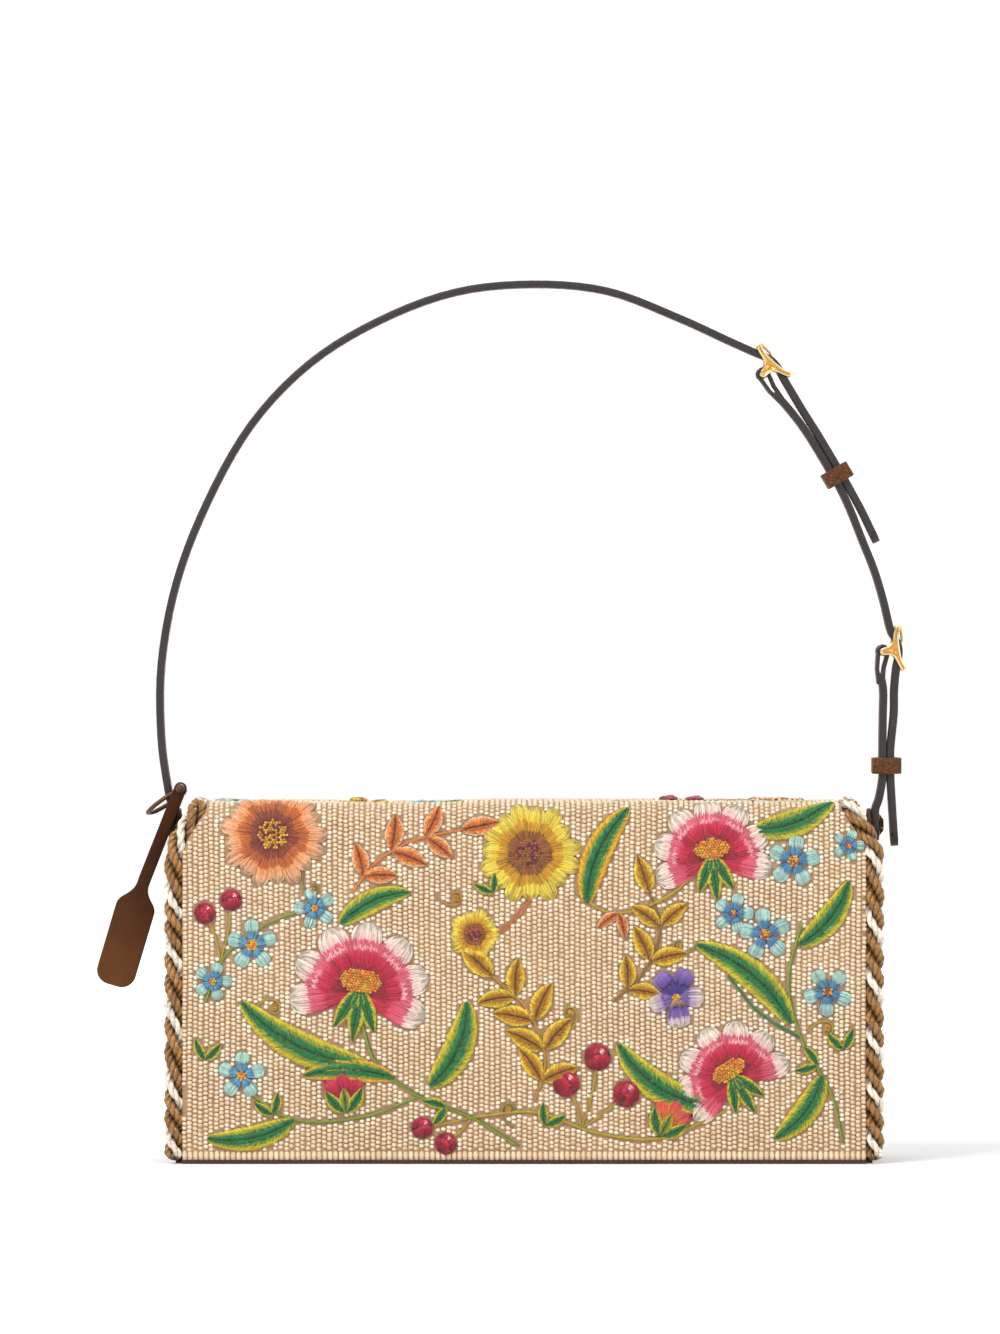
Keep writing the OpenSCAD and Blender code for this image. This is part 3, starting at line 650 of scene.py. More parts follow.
def profile_of(kind, t):
    t = np.clip(t, 0, 1)
    if kind == "leaf":
        return np.sin(math.pi * t**0.85) ** 0.85
    if kind == "blade":
        return np.sin(math.pi * np.clip(0.02 + 0.96 * t, 0, 1) ** 0.9) ** 0.55
    if kind == "petal":
        return np.clip(t, 0, 1) ** 0.55 * np.sqrt(np.clip(1 - t**5, 0, 1)) * 1.02
    return np.sqrt(np.clip(1 - (2 * t - 1) ** 2, 0, 1))


def pad(t, v):
    """How high a leaf or petal is padded at shares t along it and v across it."""
    t, v = np.clip(t, 0, 1), np.clip(np.abs(v), 0, 1)
    return np.sqrt(1 - v * v * 0.9) * np.clip(np.sin(math.pi * (0.04 + 0.92 * t)), 0, 1) ** 0.35


def thread_height(t, v, layer):
    ends = np.zeros(t.shape)
    ends[..., 0] = ends[..., -1] = -0.28
    return 0.5 + 0.2 * layer + 0.85 * pad(t, v) + ends


def outline(base, tip, width, kind="leaf", bend=0.0):
    """The curve of a leaf or petal: maps share along t and share across v to x, z."""
    a, c = np.array(base, float), np.array(tip, float)
    d = c - a
    b = (a + c) / 2 + np.array([-d[1], d[0]]) * bend

    def at(t, v):
        t, v = np.broadcast_arrays(np.asarray(t, float), np.asarray(v, float))
        q = np.clip(t, 0, 1)[..., None]
        p = (1 - q) ** 2 * a + 2 * q * (1 - q) * b + q * q * c
        w = 2 * (1 - q) * (b - a) + 2 * q * (c - b)
        w /= np.linalg.norm(w, axis=-1)[..., None] + 1e-9
        side = np.stack([-w[..., 1], w[..., 0]], -1)
        return p + side * (v * width * profile_of(kind, t))[..., None]

    return at, sum(np.linalg.norm(v) / 2 for v in (b - a, c - b, d))


class Design:
    """Stitches, knots and covered areas, in x and run."""

    def __init__(self, put, seed):
        self.put = put
        self.rng = np.random.default_rng(seed)
        self.lines, self.heights, self.widths, self.tints = [], [], [], []
        self.knots, self.areas, self.fills = [], [], []

    def map(self, xz):
        return np.stack(self.put(xz[..., 0], xz[..., 1]), -1)

    def stitches(self, xz, high, wide, first, last, tone=0.17):
        """xz is stitches by 5 by 2, high stitches by 5; colours go from first to last along each."""
        if not len(xz):
            return
        n = len(xz)
        share = SHARE[..., None]
        tint = np.array(lin(first)) * (1 - share) + np.array(lin(last)) * share
        tint = tint * np.clip(1 + tone * self.rng.normal(size=(n, 1, 1)), 0.6, 1.4)
        self.lines.append(self.map(xz))
        self.heights.append(high)
        self.widths.append(np.broadcast_to(wide, (n,)))
        self.tints.append(tint)

    def cover(self, at, bands, layer, along=False):
        """Keeps the beads off a shape and pads it."""
        t = np.linspace(0, 1, 15)
        self.areas.append((self.map(np.concatenate([at(t, 1.0), at(t[::-1], -1.0)])), 0.15))
        tt, vv = np.meshgrid(np.linspace(0.01, 0.99, 9), np.linspace(-0.92, 0.92, 5), indexing="ij")
        share = np.linspace(0, 1, 9) if along else np.full(9, 0.75)
        codes = [next(b for b in reversed(bands) if b[0] <= max(t, bands[0][0]))[3] for t in share]
        lift = 0.12 + 0.2 * layer + 0.7 * pad(tt, vv)
        # The padding is real, but it takes its bands' colours darkened to 0.6: painted shade where it shows between
        # the stitches.
        self.fills.append((self.map(at(tt, vv)), lift, np.array([lin(code, 0.6) for code in codes])))

    def leaf(self, base, tip, width, bands, bend=0.0, rib=None, kind="leaf", slant=0.7, layer=0):
        """Stitches slanting out from a middle line, in bands of colour, with an optional rib."""
        at, long = outline(base, tip, width, kind, bend)
        self.cover(at, bands, layer)
        count = max(4, int(long / THREAD_PITCH))
        for side in (-1, 1):
            for v0, v1, first, last in bands:
                t = (np.arange(count) + self.rng.uniform(-0.3, 0.3, count)) / count
                w = width * profile_of(kind, t)
                keep = w > 0.35
                t, w = t[keep][:, None], w[keep][:, None]
                n = len(t)
                va = np.clip(v0 + self.rng.normal(0, 0.07, (n, 1)), 0.0, 1)
                vb = np.clip(v1 + self.rng.normal(0, 0.06 if v1 < 1 else 0.035, (n, 1)), 0.05, 1.06)
                v = va + (vb - va) * SHARE
                tt = np.clip(t + slant * w / long * (v - v0 * 0.3), 0, 0.995)
                self.stitches(at(tt, v * side), thread_height(tt, v, layer), 0.6, first, last)
        if rib:
            path = at(np.linspace(0.02, 0.9, 24), np.zeros(24))
            self.stem(path, 0.62, rib, lift=0.62 + 0.2 * layer, cover=False)

    def petal(self, base, tip, width, bands, kind="petal", teeth=0, layer=0, jag=0.05):
        """Long and short stitches from base to tip, in bands of colour."""
        at, _ = outline(base, tip, width, kind)
        self.cover(at, bands, layer, along=True)
        for t0, t1, first, last in bands:
            wide = float(profile_of(kind, np.array((t0 + t1) / 2)))
            count = max(3, int(2 * width * wide / THREAD_PITCH))
            v = np.linspace(-0.94, 0.94, count)[:, None] + self.rng.normal(0, 0.3 / count, (count, 1))
            ta = t0 + self.rng.uniform(-1, 1, (count, 1)) * jag * (t0 > 0)
            tb = t1 + self.rng.uniform(-1, 1, (count, 1)) * jag
            if teeth and t1 >= 0.97:
                notch = 0.11 * np.abs(np.sin(v * teeth * math.pi / 2))
                tb = t1 - notch + self.rng.uniform(-0.02, 0.02, (count, 1))
            tt = np.clip(ta + (tb - ta) * SHARE, 0.0, 0.997)
            vv = np.broadcast_to(v, tt.shape)
            self.stitches(at(tt, vv), thread_height(tt, vv, layer), 0.62, first, last)

    def stem(self, points, width, code, code2=None, lift=0.55, cover=True):
        """A line of overlapping slanted stitches."""
        p = np.asarray(points, float)
        if cover:
            p = curve(p, 10)
        run = lengths(p)
        total = run[-1]
        if cover:
            way = np.gradient(p, axis=0)
            way /= np.linalg.norm(way, axis=1)[:, None] + 1e-9
            side = np.stack([-way[:, 1], way[:, 0]], -1) * (width / 2)
            self.areas.append((self.map(np.concatenate([p + side, (p - side)[::-1]])), 0.25))
        start = np.arange(0, max(total - 1.2, 0.6), 1.05)
        at = np.clip(start[:, None] + SHARE * 3.0, 0, total)
        ahead, behind = np.clip(at + 0.4, 0, total), np.clip(at - 0.4, 0, total)
        x, z = (np.interp(at, run, p[:, k]) for k in (0, 1))
        dx, dz = (np.interp(ahead, run, p[:, k]) - np.interp(behind, run, p[:, k]) for k in (0, 1))
        size = np.hypot(dx, dz) + 1e-9
        off = (SHARE - 0.5) * width * 0.7
        xz = np.stack([x - dz / size * off, z + dx / size * off], -1)
        high = np.full(at.shape, lift) + np.array([-0.3, 0.1, 0.16, 0.1, -0.3])[None, :]
        self.stitches(xz, high, min(0.8, width * 0.75), code, code2 or code, 0.08)

    def disc(self, centre, r, first, last, turn=0.0, layer=0):
        """A small round filled with parallel stitches."""
        d = np.array([math.cos(turn), math.sin(turn)]) * r
        c = np.array(centre, float)
        bands = [(0.0, 0.55, first, last), (0.45, 1.0, first, last)]
        self.petal(c - d, c + d, r, bands, kind="round", layer=layer)

    def knot_patch(self, centre, rx, rz, codes, turn=0.0, size=0.62, layer=1):
        """A patch of wound knots."""
        step = size * 1.75
        c, s = math.cos(turn), math.sin(turn)
        for j in range(-20, 21):
            for i in range(-20, 21):
                u, v = (i + 0.5 * (j % 2)) * step, j * step * 0.87
                if (u / rx) ** 2 + (v / rz) ** 2 > 1:
                    continue
                u, v = u + self.rng.normal(0, 0.08), v + self.rng.normal(0, 0.08)
                spot = self.map(np.array([centre[0] + u * c - v * s, centre[1] + u * s + v * c]))
                code = codes[int(self.rng.integers(len(codes)))]
                self.knots.append((*spot, 0.75 + 0.2 * layer, size, lin(code, 1 + 0.1 * self.rng.normal())))


def curve(points, n=8):
    """A smooth curve through points."""
    p = np.asarray(points, float)
    if len(p) < 3:
        return np.linspace(p[0], p[-1], n + 1)
    q = np.concatenate([[2 * p[0] - p[1]], p, [2 * p[-1] - p[-2]]])
    t = np.linspace(0, 1, n, endpoint=False)[:, None]
    out = []
    for a, b, c, d in zip(q, q[1:], q[2:], q[3:]):
        square, cube = 2 * a - 5 * b + 4 * c - d, 3 * b - a - 3 * c + d
        out.append((2 * b + (c - a) * t + square * t**2 + cube * t**3) / 2)
    return np.concatenate([*out, p[-1:]])


def toward(centre, angle, r):
    return (centre[0] + r * math.cos(math.radians(angle)), centre[1] + r * math.sin(math.radians(angle)))


GOLDEN = [(0.0, 0.45, OCHRE, MUSTARD), (0.3, 0.8, MUSTARD, GOLD), (0.6, 1.0, YELLOW, "ead04a")]
AMBER = [(0.0, 0.5, RUST, ORANGE), (0.36, 0.85, ORANGE, "ea9f56"), (0.7, 1.0, "efb285", "f3cba6")]
FRESH = [(0.0, 0.6, LEAF, GREEN), (0.45, 1.0, LIME, YELLOW)]
SUNNY = [(0.0, 0.4, RUST, OCHRE), (0.28, 0.66, MUSTARD, GOLD), (0.5, 1.0, YELLOW, "efd75c")]
CORAL = [(0.0, 0.4, WINE, RUST), (0.28, 0.66, RUST, ORANGE), (0.5, 1.0, "e88f45", "f3c29a")]
CUP = [(0.0, 0.55, LEAF, GREEN), (0.45, 1.0, LIME, YELLOW)]
OUTER_FAN = [(0.0, 0.5, CRIMSON, ROSE), (0.36, 0.78, ROSE, PINK), (0.66, 1.0, BLUSH, WHITE)]
INNER_FAN = [(0.0, 0.55, WINE, CRIMSON), (0.4, 0.86, CRIMSON, ROSE), (0.78, 1.0, PINK, BLUSH)]


def carnation(d, centre, facing, r):
    """A fan of toothed petals over a green cup."""
    fans = ((1.0, 0.3, 105, 7, OUTER_FAN), (0.72, 0.26, 78, 5, INNER_FAN))
    for ring, (reach, wide, spread, count, bands) in enumerate(fans):
        for i in range(count):
            a = facing + spread * (2 * i / (count - 1) - 1)
            base, tip = toward(centre, a, r * 0.1), toward(centre, a, r * reach)
            d.petal(base, tip, r * wide, bands, teeth=4, layer=ring * 1.5 + 0.3 * (i % 2))
    core = toward(centre, facing, r * 0.16)
    d.knot_patch(core, r * 0.3, r * 0.17, (GOLD, MUSTARD, ORANGE), math.radians(facing - 90), layer=4)
    for a, long in ((-152, 0.62), (180, 0.72), (152, 0.62)):
        d.leaf(toward(centre, facing, r * 0.06), toward(centre, facing + a, r * long), r * 0.13, CUP, layer=1)


def starlet(d, centre, r, turn=0, outer=PALE, inner=BLUE, heart=RUST):
    """A small flower of five round petals."""
    bands = [(0.0, 0.5, inner, SKY), (0.4, 1.0, outer, outer)]
    for i in range(5):
        a = turn + 72 * i
        d.petal(toward(centre, a, r * 0.1), toward(centre, a, r), r * 0.36, bands, layer=0.4 * (i % 2))
    d.knot_patch(centre, r * 0.2, r * 0.2, (heart, GOLD), layer=2.5, size=0.55)


def spray(d, stalk, leaves, size, bands, rib, code):
    """A stalk with pairs of leaves and one at its end."""
    path = curve(stalk, 12)
    d.stem(stalk, 0.9, code)
    run = lengths(path)
    for i in range(leaves):
        share = 0.15 + 0.85 * i / leaves
        x, z = (np.interp(share * run[-1], run, path[:, k]) for k in (0, 1))
        x2, z2 = (np.interp(share * run[-1] + 1, run, path[:, k]) for k in (0, 1))
        way = math.degrees(math.atan2(z2 - z, x2 - x))
        long = size * (1 - 0.35 * abs(share - 0.45))
        for side in (-1, 1):
            base, tip = (toward((x, z), way + side * 52, r) for r in (0.6, long))
            d.leaf(base, tip, long * 0.25, bands, bend=-0.09 * side, rib=rib, layer=0.3 * i)
    way = math.degrees(math.atan2(path[-1][1] - path[-3][1], path[-1][0] - path[-3][0]))
    end = tuple(path[-1])
    d.leaf(end, toward(end, way, size), size * 0.25, bands, rib=rib, layer=0.4)


def willow(d, base, tip, width, bend, edge=YELLOW):
    """A long leaf: dark middle, green body and a pale border."""
    border = LIME if edge == YELLOW else edge
    bands = [(0.0, 0.44, LEAF, GREEN), (0.34, 0.68, GREEN, LIME), (0.56, 1.0, border, edge)]
    d.leaf(base, tip, width * 1.2, bands, bend=bend, kind="blade", slant=1.0, rib="0f4f2a")


def tendril(d, start, facing, size, side, code=LIME):
    """A thin stalk that curls in on itself."""
    spot, a, points = start, facing, []
    for i in range(11):
        points.append(spot)
        a += side * (6 + 7.5 * i)
        spot = toward(spot, a, size * (0.2 - 0.012 * i))
    d.stem(points, 0.75, code, MUSTARD)
    d.disc(points[-1], 1.1, MUSTARD, GOLD, layer=1)


def berries(d, fork, spots, r):
    """Round berries on stalks from one fork, each with a highlight."""
    for x, z in spots:
        d.stem([fork, ((fork[0] + x) / 2 + 1, (fork[1] + z) / 2), (x, z)], 0.8, LIME, MUSTARD)
    for i, (x, z) in enumerate(spots):
        d.disc((x, z), r, WINE, CRIMSON, 0.7 + i, 1)
        d.disc((x + r * 0.15, z + r * 0.25), r * 0.55, CRIMSON, ROSE, 0.7 + i, 2.2)
        d.disc((x + r * 0.3, z + r * 0.45), r * 0.2, BLUSH, WHITE, 0.7, 3.4)


def pansy(d, centre, r, turn=0):
    """Four petals behind and a broad one in front."""
    dark, light = (1.0, VIOLET, LILAC), (0.92, LILAC, WHITE)
    for a, (reach, first, last) in ((60, dark), (120, dark), (-8, light), (188, light)):
        bands = [(0.0, 0.5, VIOLET, first), (0.4, 1.0, first, last)]
        d.petal(centre, toward(centre, a + turn, r * reach), r * 0.42, bands, layer=0.4)
    bands = [(0.0, 0.4, GOLD, VIOLET), (0.3, 0.7, VIOLET, LILAC), (0.6, 1.0, LILAC, WHITE)]
    d.petal(centre, toward(centre, -90 + turn, r * 1.02), r * 0.5, bands, layer=1.4, teeth=2)
    d.knot_patch(centre, r * 0.16, r * 0.12, (GOLD, MUSTARD), layer=3)


def daisy(d, centre, r, petals, bands, heart, turn=0.0):
    """A round flower of many petals about a patch of knots."""
    for i in (*range(0, petals, 2), *range(1, petals, 2)):
        a = turn + 360 * i / petals
        base, tip = toward(centre, a, r * 0.16), toward(centre, a, r * (1 - 0.1 * (i % 2)))
        d.petal(base, tip, r * 3.3 / petals, bands, layer=0.9 * (i % 2), teeth=2)
    d.knot_patch(centre, r * 0.27, r * 0.27, heart, layer=3)


def bud(d, base, facing, r, outer=CRIMSON, inner=WINE):
    """A closed flower: three petals in a cup of leaves."""
    bands = [(0.0, 0.55, inner, outer), (0.4, 1.0, outer, ROSE)]
    for a, reach, layer in ((-26, 1.25, 0.5), (26, 1.25, 0.5), (0, 1.4, 1.2)):
        tip = toward(base, facing + a, r * reach)
        d.petal(toward(base, facing, r * 0.25), tip, r * 0.3, bands, teeth=2, layer=layer)
    for side in (-1, 1):
        tip = toward(base, facing + 38 * side, r * 0.95)
        d.leaf(base, tip, r * 0.22, FRESH, bend=0.16 * side, layer=2)
    bands = [(0.0, 0.6, LEAF, LIME), (0.45, 1.0, LIME, YELLOW)]
    d.leaf(base, toward(base, facing, r * 0.8), r * 0.2, bands, layer=3)


def pair(d, base, facing, size, bands, rib=None):
    """Two small leaves from one place."""
    for side in (-1, 1):
        tip = toward(base, facing + 34 * side, size)
        d.leaf(base, tip, size * 0.23, bands, bend=0.1 * side, rib=rib, layer=0.5 * (side > 0))


# The front and back panels, x from -126 to 126 and z from 6 to the fold: each kind with its rows of
# values, in the order of sewing, so that flowers lie over the ends of the long stalks
PANEL = (
    (Design.stem, (
        ([(-2, 7), (-20, 18), (-40, 26), (-56, 38), (-62, 54)], 1.5, LEAF, LIME),
        ([(-40, 26), (-62, 18), (-88, 17), (-106, 28)], 1.1, LIME, LEAF),
        ([(-20, 18), (4, 20), (28, 12), (52, 10), (76, 20)], 1.3, MUSTARD, LIME),
        ([(122, 8), (117, 28), (106, 48), (101, 70), (106, 92)], 1.2, LEAF, LIME),
        ([(106, 48), (90, 58), (78, 72)], 1.0, LEAF, GREEN),
        ([(-122, 62), (-114, 80), (-98, 92), (-76, 100)], 1.1, LEAF, LIME),
        ([(6, 112), (0, 98), (-12, 86), (-18, 76)], 1.2, RUST, ORANGE),
        ([(70, 116), (54, 102), (34, 96), (20, 104)], 1.2, LIME, MUSTARD),
    )),
    (spray, (
        ([(4, 24), (8, 40), (2, 58), (-12, 72)], 4, 17, GOLDEN, WINE, MUSTARD),
        ([(34, 62), (46, 74), (52, 90), (48, 104)], 3, 15, GOLDEN, "8c2f2c", OCHRE),
        ([(-66, 104), (-56, 116), (-42, 124), (-24, 128)], 3, 15, AMBER, WINE, ORANGE),
    )),
    (willow, (
        ((-36, 30), (-22, 62), 5.0, -0.24), ((-60, 38), (-108, 62), 5.2, 0.2),
        ((-50, 33), (-84, 34), 3.8, -0.16, GOLD), ((72, 22), (36, 46), 4.8, 0.24),
        ((102, 54), (66, 84), 4.8, -0.2), ((24, 100), (40, 136), 4.6, 0.2, GOLD),
        ((88, 128), (118, 140), 4.6, -0.2), ((-70, 92), (-44, 104), 3.8, 0.2),
        ((-88, 17), (-121, 10), 4.0, 0.2), ((105, 84), (124, 108), 4.2, -0.2),
        ((114, 34), (96, 10), 4.2, 0.2),
    )),
    (tendril, (
        ((-104, 58), 60, 15, -1), ((-84, 112), 250, 13, 1, GREEN), ((14, 50), 20, 15, 1),
        ((66, 84), 230, 12, -1, GREEN), ((-34, 104), 300, 14, 1, MUSTARD), ((108, 50), 60, 14, -1),
        ((-4, 14), 150, 13, -1, GREEN),
    )),
    (carnation, (((-63, 66), 82, 27), ((80, 33), 122, 22), ((72, 117), 96, 23))),
    (daisy, (
        ((2, 119), 20, 15, SUNNY, (WINE, RUST, OCHRE), 8),
        ((-96, 126), 21, 17, CORAL, (GOLD, MUSTARD, WINE), 0),
        ((-19, 88), 10, 10, SUNNY, (WINE, RUST), 0),
    )),
    (starlet, (
        ((103, 116), 9 * 1.12, 10), ((92, 88), 9 * 1.12, 25), ((116, 66), 8.5 * 1.12, 50),
        ((80, 96), 7 * 1.12, 0), ((124, 122), 5.5 * 1.12, 0),
        ((-104, 84), 8.5 * 1.15, 20, PALE, SKY, ORANGE), ((-119, 70), 6.5 * 1.15, 0, PALE, SKY, ORANGE),
        ((-80, 98), 7 * 1.15, 35, PALE, SKY, ORANGE), ((-108, 34), 8 * 1.15, 15, PALE, SKY, ORANGE),
    )),
    (berries, (
        ((22, 14), ((16, 31), (28, 41), (39, 27)), 5.2), ((-20, 18), ((-30, 8), (-39, 14)), 4.2),
        ((-116, 78), ((-122, 96), (-112, 101)), 4.1),
    )),
    (pansy, (((58, 64), 11.5, 8),)),
    (bud, (((-68, 20), 96, 12), ((52, 11), 62, 12, ORANGE, RUST))),
    (pair, (
        ((8, 15), 60, 9, FRESH), ((-96, 19), 112, 9, FRESH), ((112, 38), 160, 9, FRESH),
        ((-30, 22), 200, 9, FRESH), ((-122, 40), 80, 9, FRESH), ((122, 44), 100, 9, FRESH),
        ((36, 96), 250, 10, AMBER, WINE), ((-12, 104), 120, 8, FRESH),
    )),
)
# The strip over the top, x along it and z from one fold to the other
STRIP = (
    (Design.stem, (
        ([(-70, 10), (-52, 18), (-34, 12), (-14, 20), (-4, 34)], 1.1, LIME, LEAF),
        ([(34, 36), (50, 30), (84, 36), (112, 28)], 1.1, LEAF, MUSTARD),
    )),
    (spray, (([(-50, 18), (-58, 28), (-62, 38)], 2, 13, GOLDEN, WINE, MUSTARD),)),
    (willow, (((-34, 12), (-24, 38), 4.2, 0.2), ((84, 36), (112, 12), 4.2, -0.2))),
    (starlet, (((-38, 32), 7.5, -38), ((36, 20), 8, 36), ((88, 18), 7.5, 88), ((-112, 28), 7, -112))),
    (berries, (((50, 30), ((56, 40), (66, 38)), 3.6),)),
)


@functools.cache
def designs():
    made = []
    for seed, table, put in (
        (11, PANEL, lambda x, z: (x, z - FOOT)),
        (13, STRIP, lambda x, z: (x, FLAT + ARC - 4 + z)),
        (12, PANEL, lambda x, z: (-x, RUN - (z - FOOT))),
    ):
        design = Design(put, seed)
        for motif, rows in table:
            for row in rows:
                motif(design, *row)
        made.append(design)
    return made


def signed_gap(points, ring):
    """Distance of points from a closed outline, negative inside it."""
    a, b = ring, np.roll(ring, -1, 0)
    ab = b - a
    ap = points[:, None, :] - a[None]
    t = np.clip((ap * ab).sum(-1) / ((ab * ab).sum(-1) + 1e-9), 0, 1)
    near = np.linalg.norm(ap - t[..., None] * ab, axis=-1).min(1)
    y0, y1 = a[None, :, 1], b[None, :, 1]
    py = points[:, None, 1]
    crosses = (y0 > py) != (y1 > py)
    x_at = a[None, :, 0] + (py - y0) / np.where(np.abs(y1 - y0) < 1e-9, 1e-9, y1 - y0) * ab[None, :, 0]
    inside = (crosses & (points[:, None, 0] < x_at)).sum(1) % 2 == 1
    return np.where(inside, -near, near)


def gap_to_embroidery(points):
    gap = np.full(len(points), 50.0)
    for design in designs():
        for ring, grow in design.areas:
            low, high = ring.min(0) - 4, ring.max(0) + 4
            near = np.where(((points > low) & (points < high)).all(1))[0]
            if len(near):
                gap[near] = np.minimum(gap[near], signed_gap(points[near], ring) - grow)
    return gap


def fold_blend(obj, front, away=5.0, down=3.5):
    """Bends a piece of cloth or rope over the fold that it crosses."""
    y, z = FOLD_Y, FOLD_Z
    if front:
        start, end = (0, (-y + away) * MM, (z + down) * MM), (0, (-y - down) * MM, (z - away) * MM)
        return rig.blend(obj, "flap_top", "flap_front", start, end)
    start, end = (0, (y + down) * MM, (z - away) * MM), (0, (y - away) * MM, (z + down) * MM)
    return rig.blend(obj, "bag", "flap_top", start, end)


# Settings that a user would change


def length(name, text, value, low=0.0):
    sizes = {"default": value * MM, "min": low * MM, "unit": "LENGTH", "subtype": "DISTANCE"}
    return FloatProperty(name=name, description=text, **sizes)


def paint(name, text, code):
    return FloatVectorProperty(name=name, description=text, default=lin(code), subtype="COLOR", min=0, max=1)


class ClothSettings(bpy.types.PropertyGroup):
    """Sizes and colours of the beaded cloth."""

    across: length("Bead pitch across", "Distance between two columns of beads", 2.06, 1.5)
    down: length("Bead pitch down", "Distance between two beads of a column", 1.7, 1.2)
    relief: length("Bead height", "How far a bead stands out from the cloth", 0.95, 0.3)
    bead: paint("Bead", "Colour of most beads", "ebd6b9")
    bead_deep: paint("Deeper bead", "Colour of the darker beads", "dcbf99")
    bead_pale: paint("Pale bead", "Colour of the beads beside the flowers", "f6ead6")
    ground: paint("Ground", "Colour of the cloth between the beads", "b8926d")
    lining: paint("Backing", "Colour of the cloth's backing", "5b3a30")


class EmbroiderySettings(bpy.types.PropertyGroup):
    """Size of the stitches."""

    thread: length("Thread", "Width of an embroidery thread", 0.6, 0.3)


class RopeSettings(bpy.types.PropertyGroup):
    """Sizes and colours of the twisted edge ropes."""

    lay: length("Lay", "Length of one turn of the strands", 23, 10)
    ply_lay: length("Ply lay", "Length of one turn of the yarns in a strand", 11.5, 5)
    bronze: paint("Bronze yarn", "Colour of the two wide strands", "996c36")
    cream: paint("Cream yarn", "Colour of the narrow strand", "f1e6d4")


class LeatherSettings(bpy.types.PropertyGroup):
    """Colours of the leathers."""

    strap: paint("Strap", "Colour of the strap's grained faces", "6a4a38")
    edge: paint("Painted edge", "Colour of the strap's sealed edges", "292424")
    keeper: paint("Keeper", "Colour of the keepers", "653a17")
    tag: paint("Tag", "Colour of the tag", "452410")
    tag_worn: paint("Worn tag", "Colour of the tag towards its foot", "6d431f")
    wall: paint("Walls", "Colour of the side, front and base leather", "54362a")


class LiningSettings(bpy.types.PropertyGroup):
    """Colour of the compartment's lining."""

    cloth: paint("Lining", "Colour of the compartment lining", "7c5348")


class StageSettings(bpy.types.PropertyGroup):
    """The studio's light."""

    dome: FloatProperty(name="Dome", description="Strength of the even light", default=0.54, min=0)
    key: FloatProperty(name="Key lamp", description="Power of the main lamp", default=33, min=0, unit="POWER")


# Beads, sheets and stitches


def bead_shape():
    """Half a ball with a closed foot: its points, corners and face starts."""
    bm = bmesh.new()
    bmesh.ops.create_uvsphere(bm, u_segments=8, v_segments=4, radius=1)
    whole = bm.verts[:] + bm.edges[:] + bm.faces[:]
    plane = {"plane_co": (0, 0, 0), "plane_no": (0, 0, 1)}
    bmesh.ops.bisect_plane(bm, geom=whole, dist=1e-4, clear_inner=True, **plane)
    bmesh.ops.holes_fill(bm, edges=bm.edges[:], sides=0)
    bm.verts.index_update()
    faces = [[v.index for v in f.verts] for f in bm.faces]
    points = np.array([v.co[:] for v in bm.verts])
    bm.free()
    return points, np.concatenate(faces), np.cumsum([0] + [len(f) for f in faces[:-1]])


def lay(points, x, s, wide, long, high, lift):
    """Copies of a shape laid on the cloth: one for each x and run s."""
    centre, up = place(x, s, lift), outward(s)
    along = np.stack([np.zeros(len(s)), up[:, 2], -up[:, 1]], -1)
    size = [np.broadcast_to(v, (len(s),))[:, None, None] for v in (wide, long, high)]
    px, py, pz = points[None, :, 0:1], points[None, :, 1:2], points[None, :, 2:3]
    across = px * size[0] * np.array([1.0, 0, 0])
    return centre[:, None] + across + py * size[1] * along[:, None] + pz * size[2] * up[:, None]


def finished(obj, mat):
    """Applies the modifiers, smooths the mesh and gives it its material."""
    bpy.context.view_layer.update()
    if obj.modifiers:
        made = bpy.data.meshes.new_from_object(obj.evaluated_get(bpy.context.evaluated_depsgraph_get()))
        obj.modifiers.clear()
        obj.data = made
        obj.data.shade_smooth()
    obj.data.materials.append(mat)
    return obj


def sheet_piece(name, low, high, off, thick, inset, mat):
    """A sheet of cloth over one half of the run, off above the bead ground and thick downwards."""
    bm = bmesh.new()
    bmesh.ops.create_grid(bm, x_segments=84, y_segments=96, size=1)
    flat = np.array([v.co[:] for v in bm.verts], np.float32)
    obj = from_bmesh(name, bm)
    me = obj.data
    s = low + (high - low) * (flat[:, 1] + 1) / 2
    x = flat[:, 0] * (half_width(s) - inset)
    put_all(me.vertices, "co", place(x, s, off) * MM)
    corner = np.empty(len(me.loops), np.int32)
    me.loops.foreach_get("vertex_index", corner)
    put_all(me.uv_layers.new(name="run").data, "uv", np.stack([x, s], -1)[corner] * MM)
    me.update()
    wall = obj.modifiers.new("thickness", "SOLIDIFY")
    wall.thickness, wall.offset = thick * MM, -1
    return finished(obj, mat)


STITCH = net(np.zeros((5, 3, 3)))[1:3]


def sewn(name, line, up, wide, tints, mat):
    """A piece made of threads along lines of five points; tints holds a colour for each point."""
    way = np.gradient(line, axis=1)
    way /= np.linalg.norm(way, axis=2)[..., None] + 1e-9
    side = np.cross(way, up)
    side /= np.linalg.norm(side, axis=2)[..., None] + 1e-9
    w = np.asarray(wide)[:, None, None] * np.array([0.35, 1, 1.05, 1, 0.35])[None, :, None]
    ridge, left = line + up * w * 0.42, line + side * w / 2 - up * w * 0.16
    rows = np.stack([ridge, left, line - side * w / 2 - up * w * 0.16], 2)
    step = np.linalg.norm(np.diff(line, axis=1), axis=2)
    run = np.concatenate([np.zeros((len(line), 1)), np.cumsum(step, 1)], 1)
    about = np.broadcast_to(np.array([0.5, 0.85, 0.15]), (len(line), 5, 3))
    runs = np.stack([np.broadcast_to(run[..., None], about.shape), about], -1)
    shades = np.repeat(np.broadcast_to(tints, line.shape), 3, 1)
    obj = repeated(name, STITCH, rows.reshape(len(line), 15, 3), shades, runs.reshape(len(line), 15, 2))
    return finished(obj, mat)


SEAM_PITCH, SEAM_SHARE = 3.1, 0.72


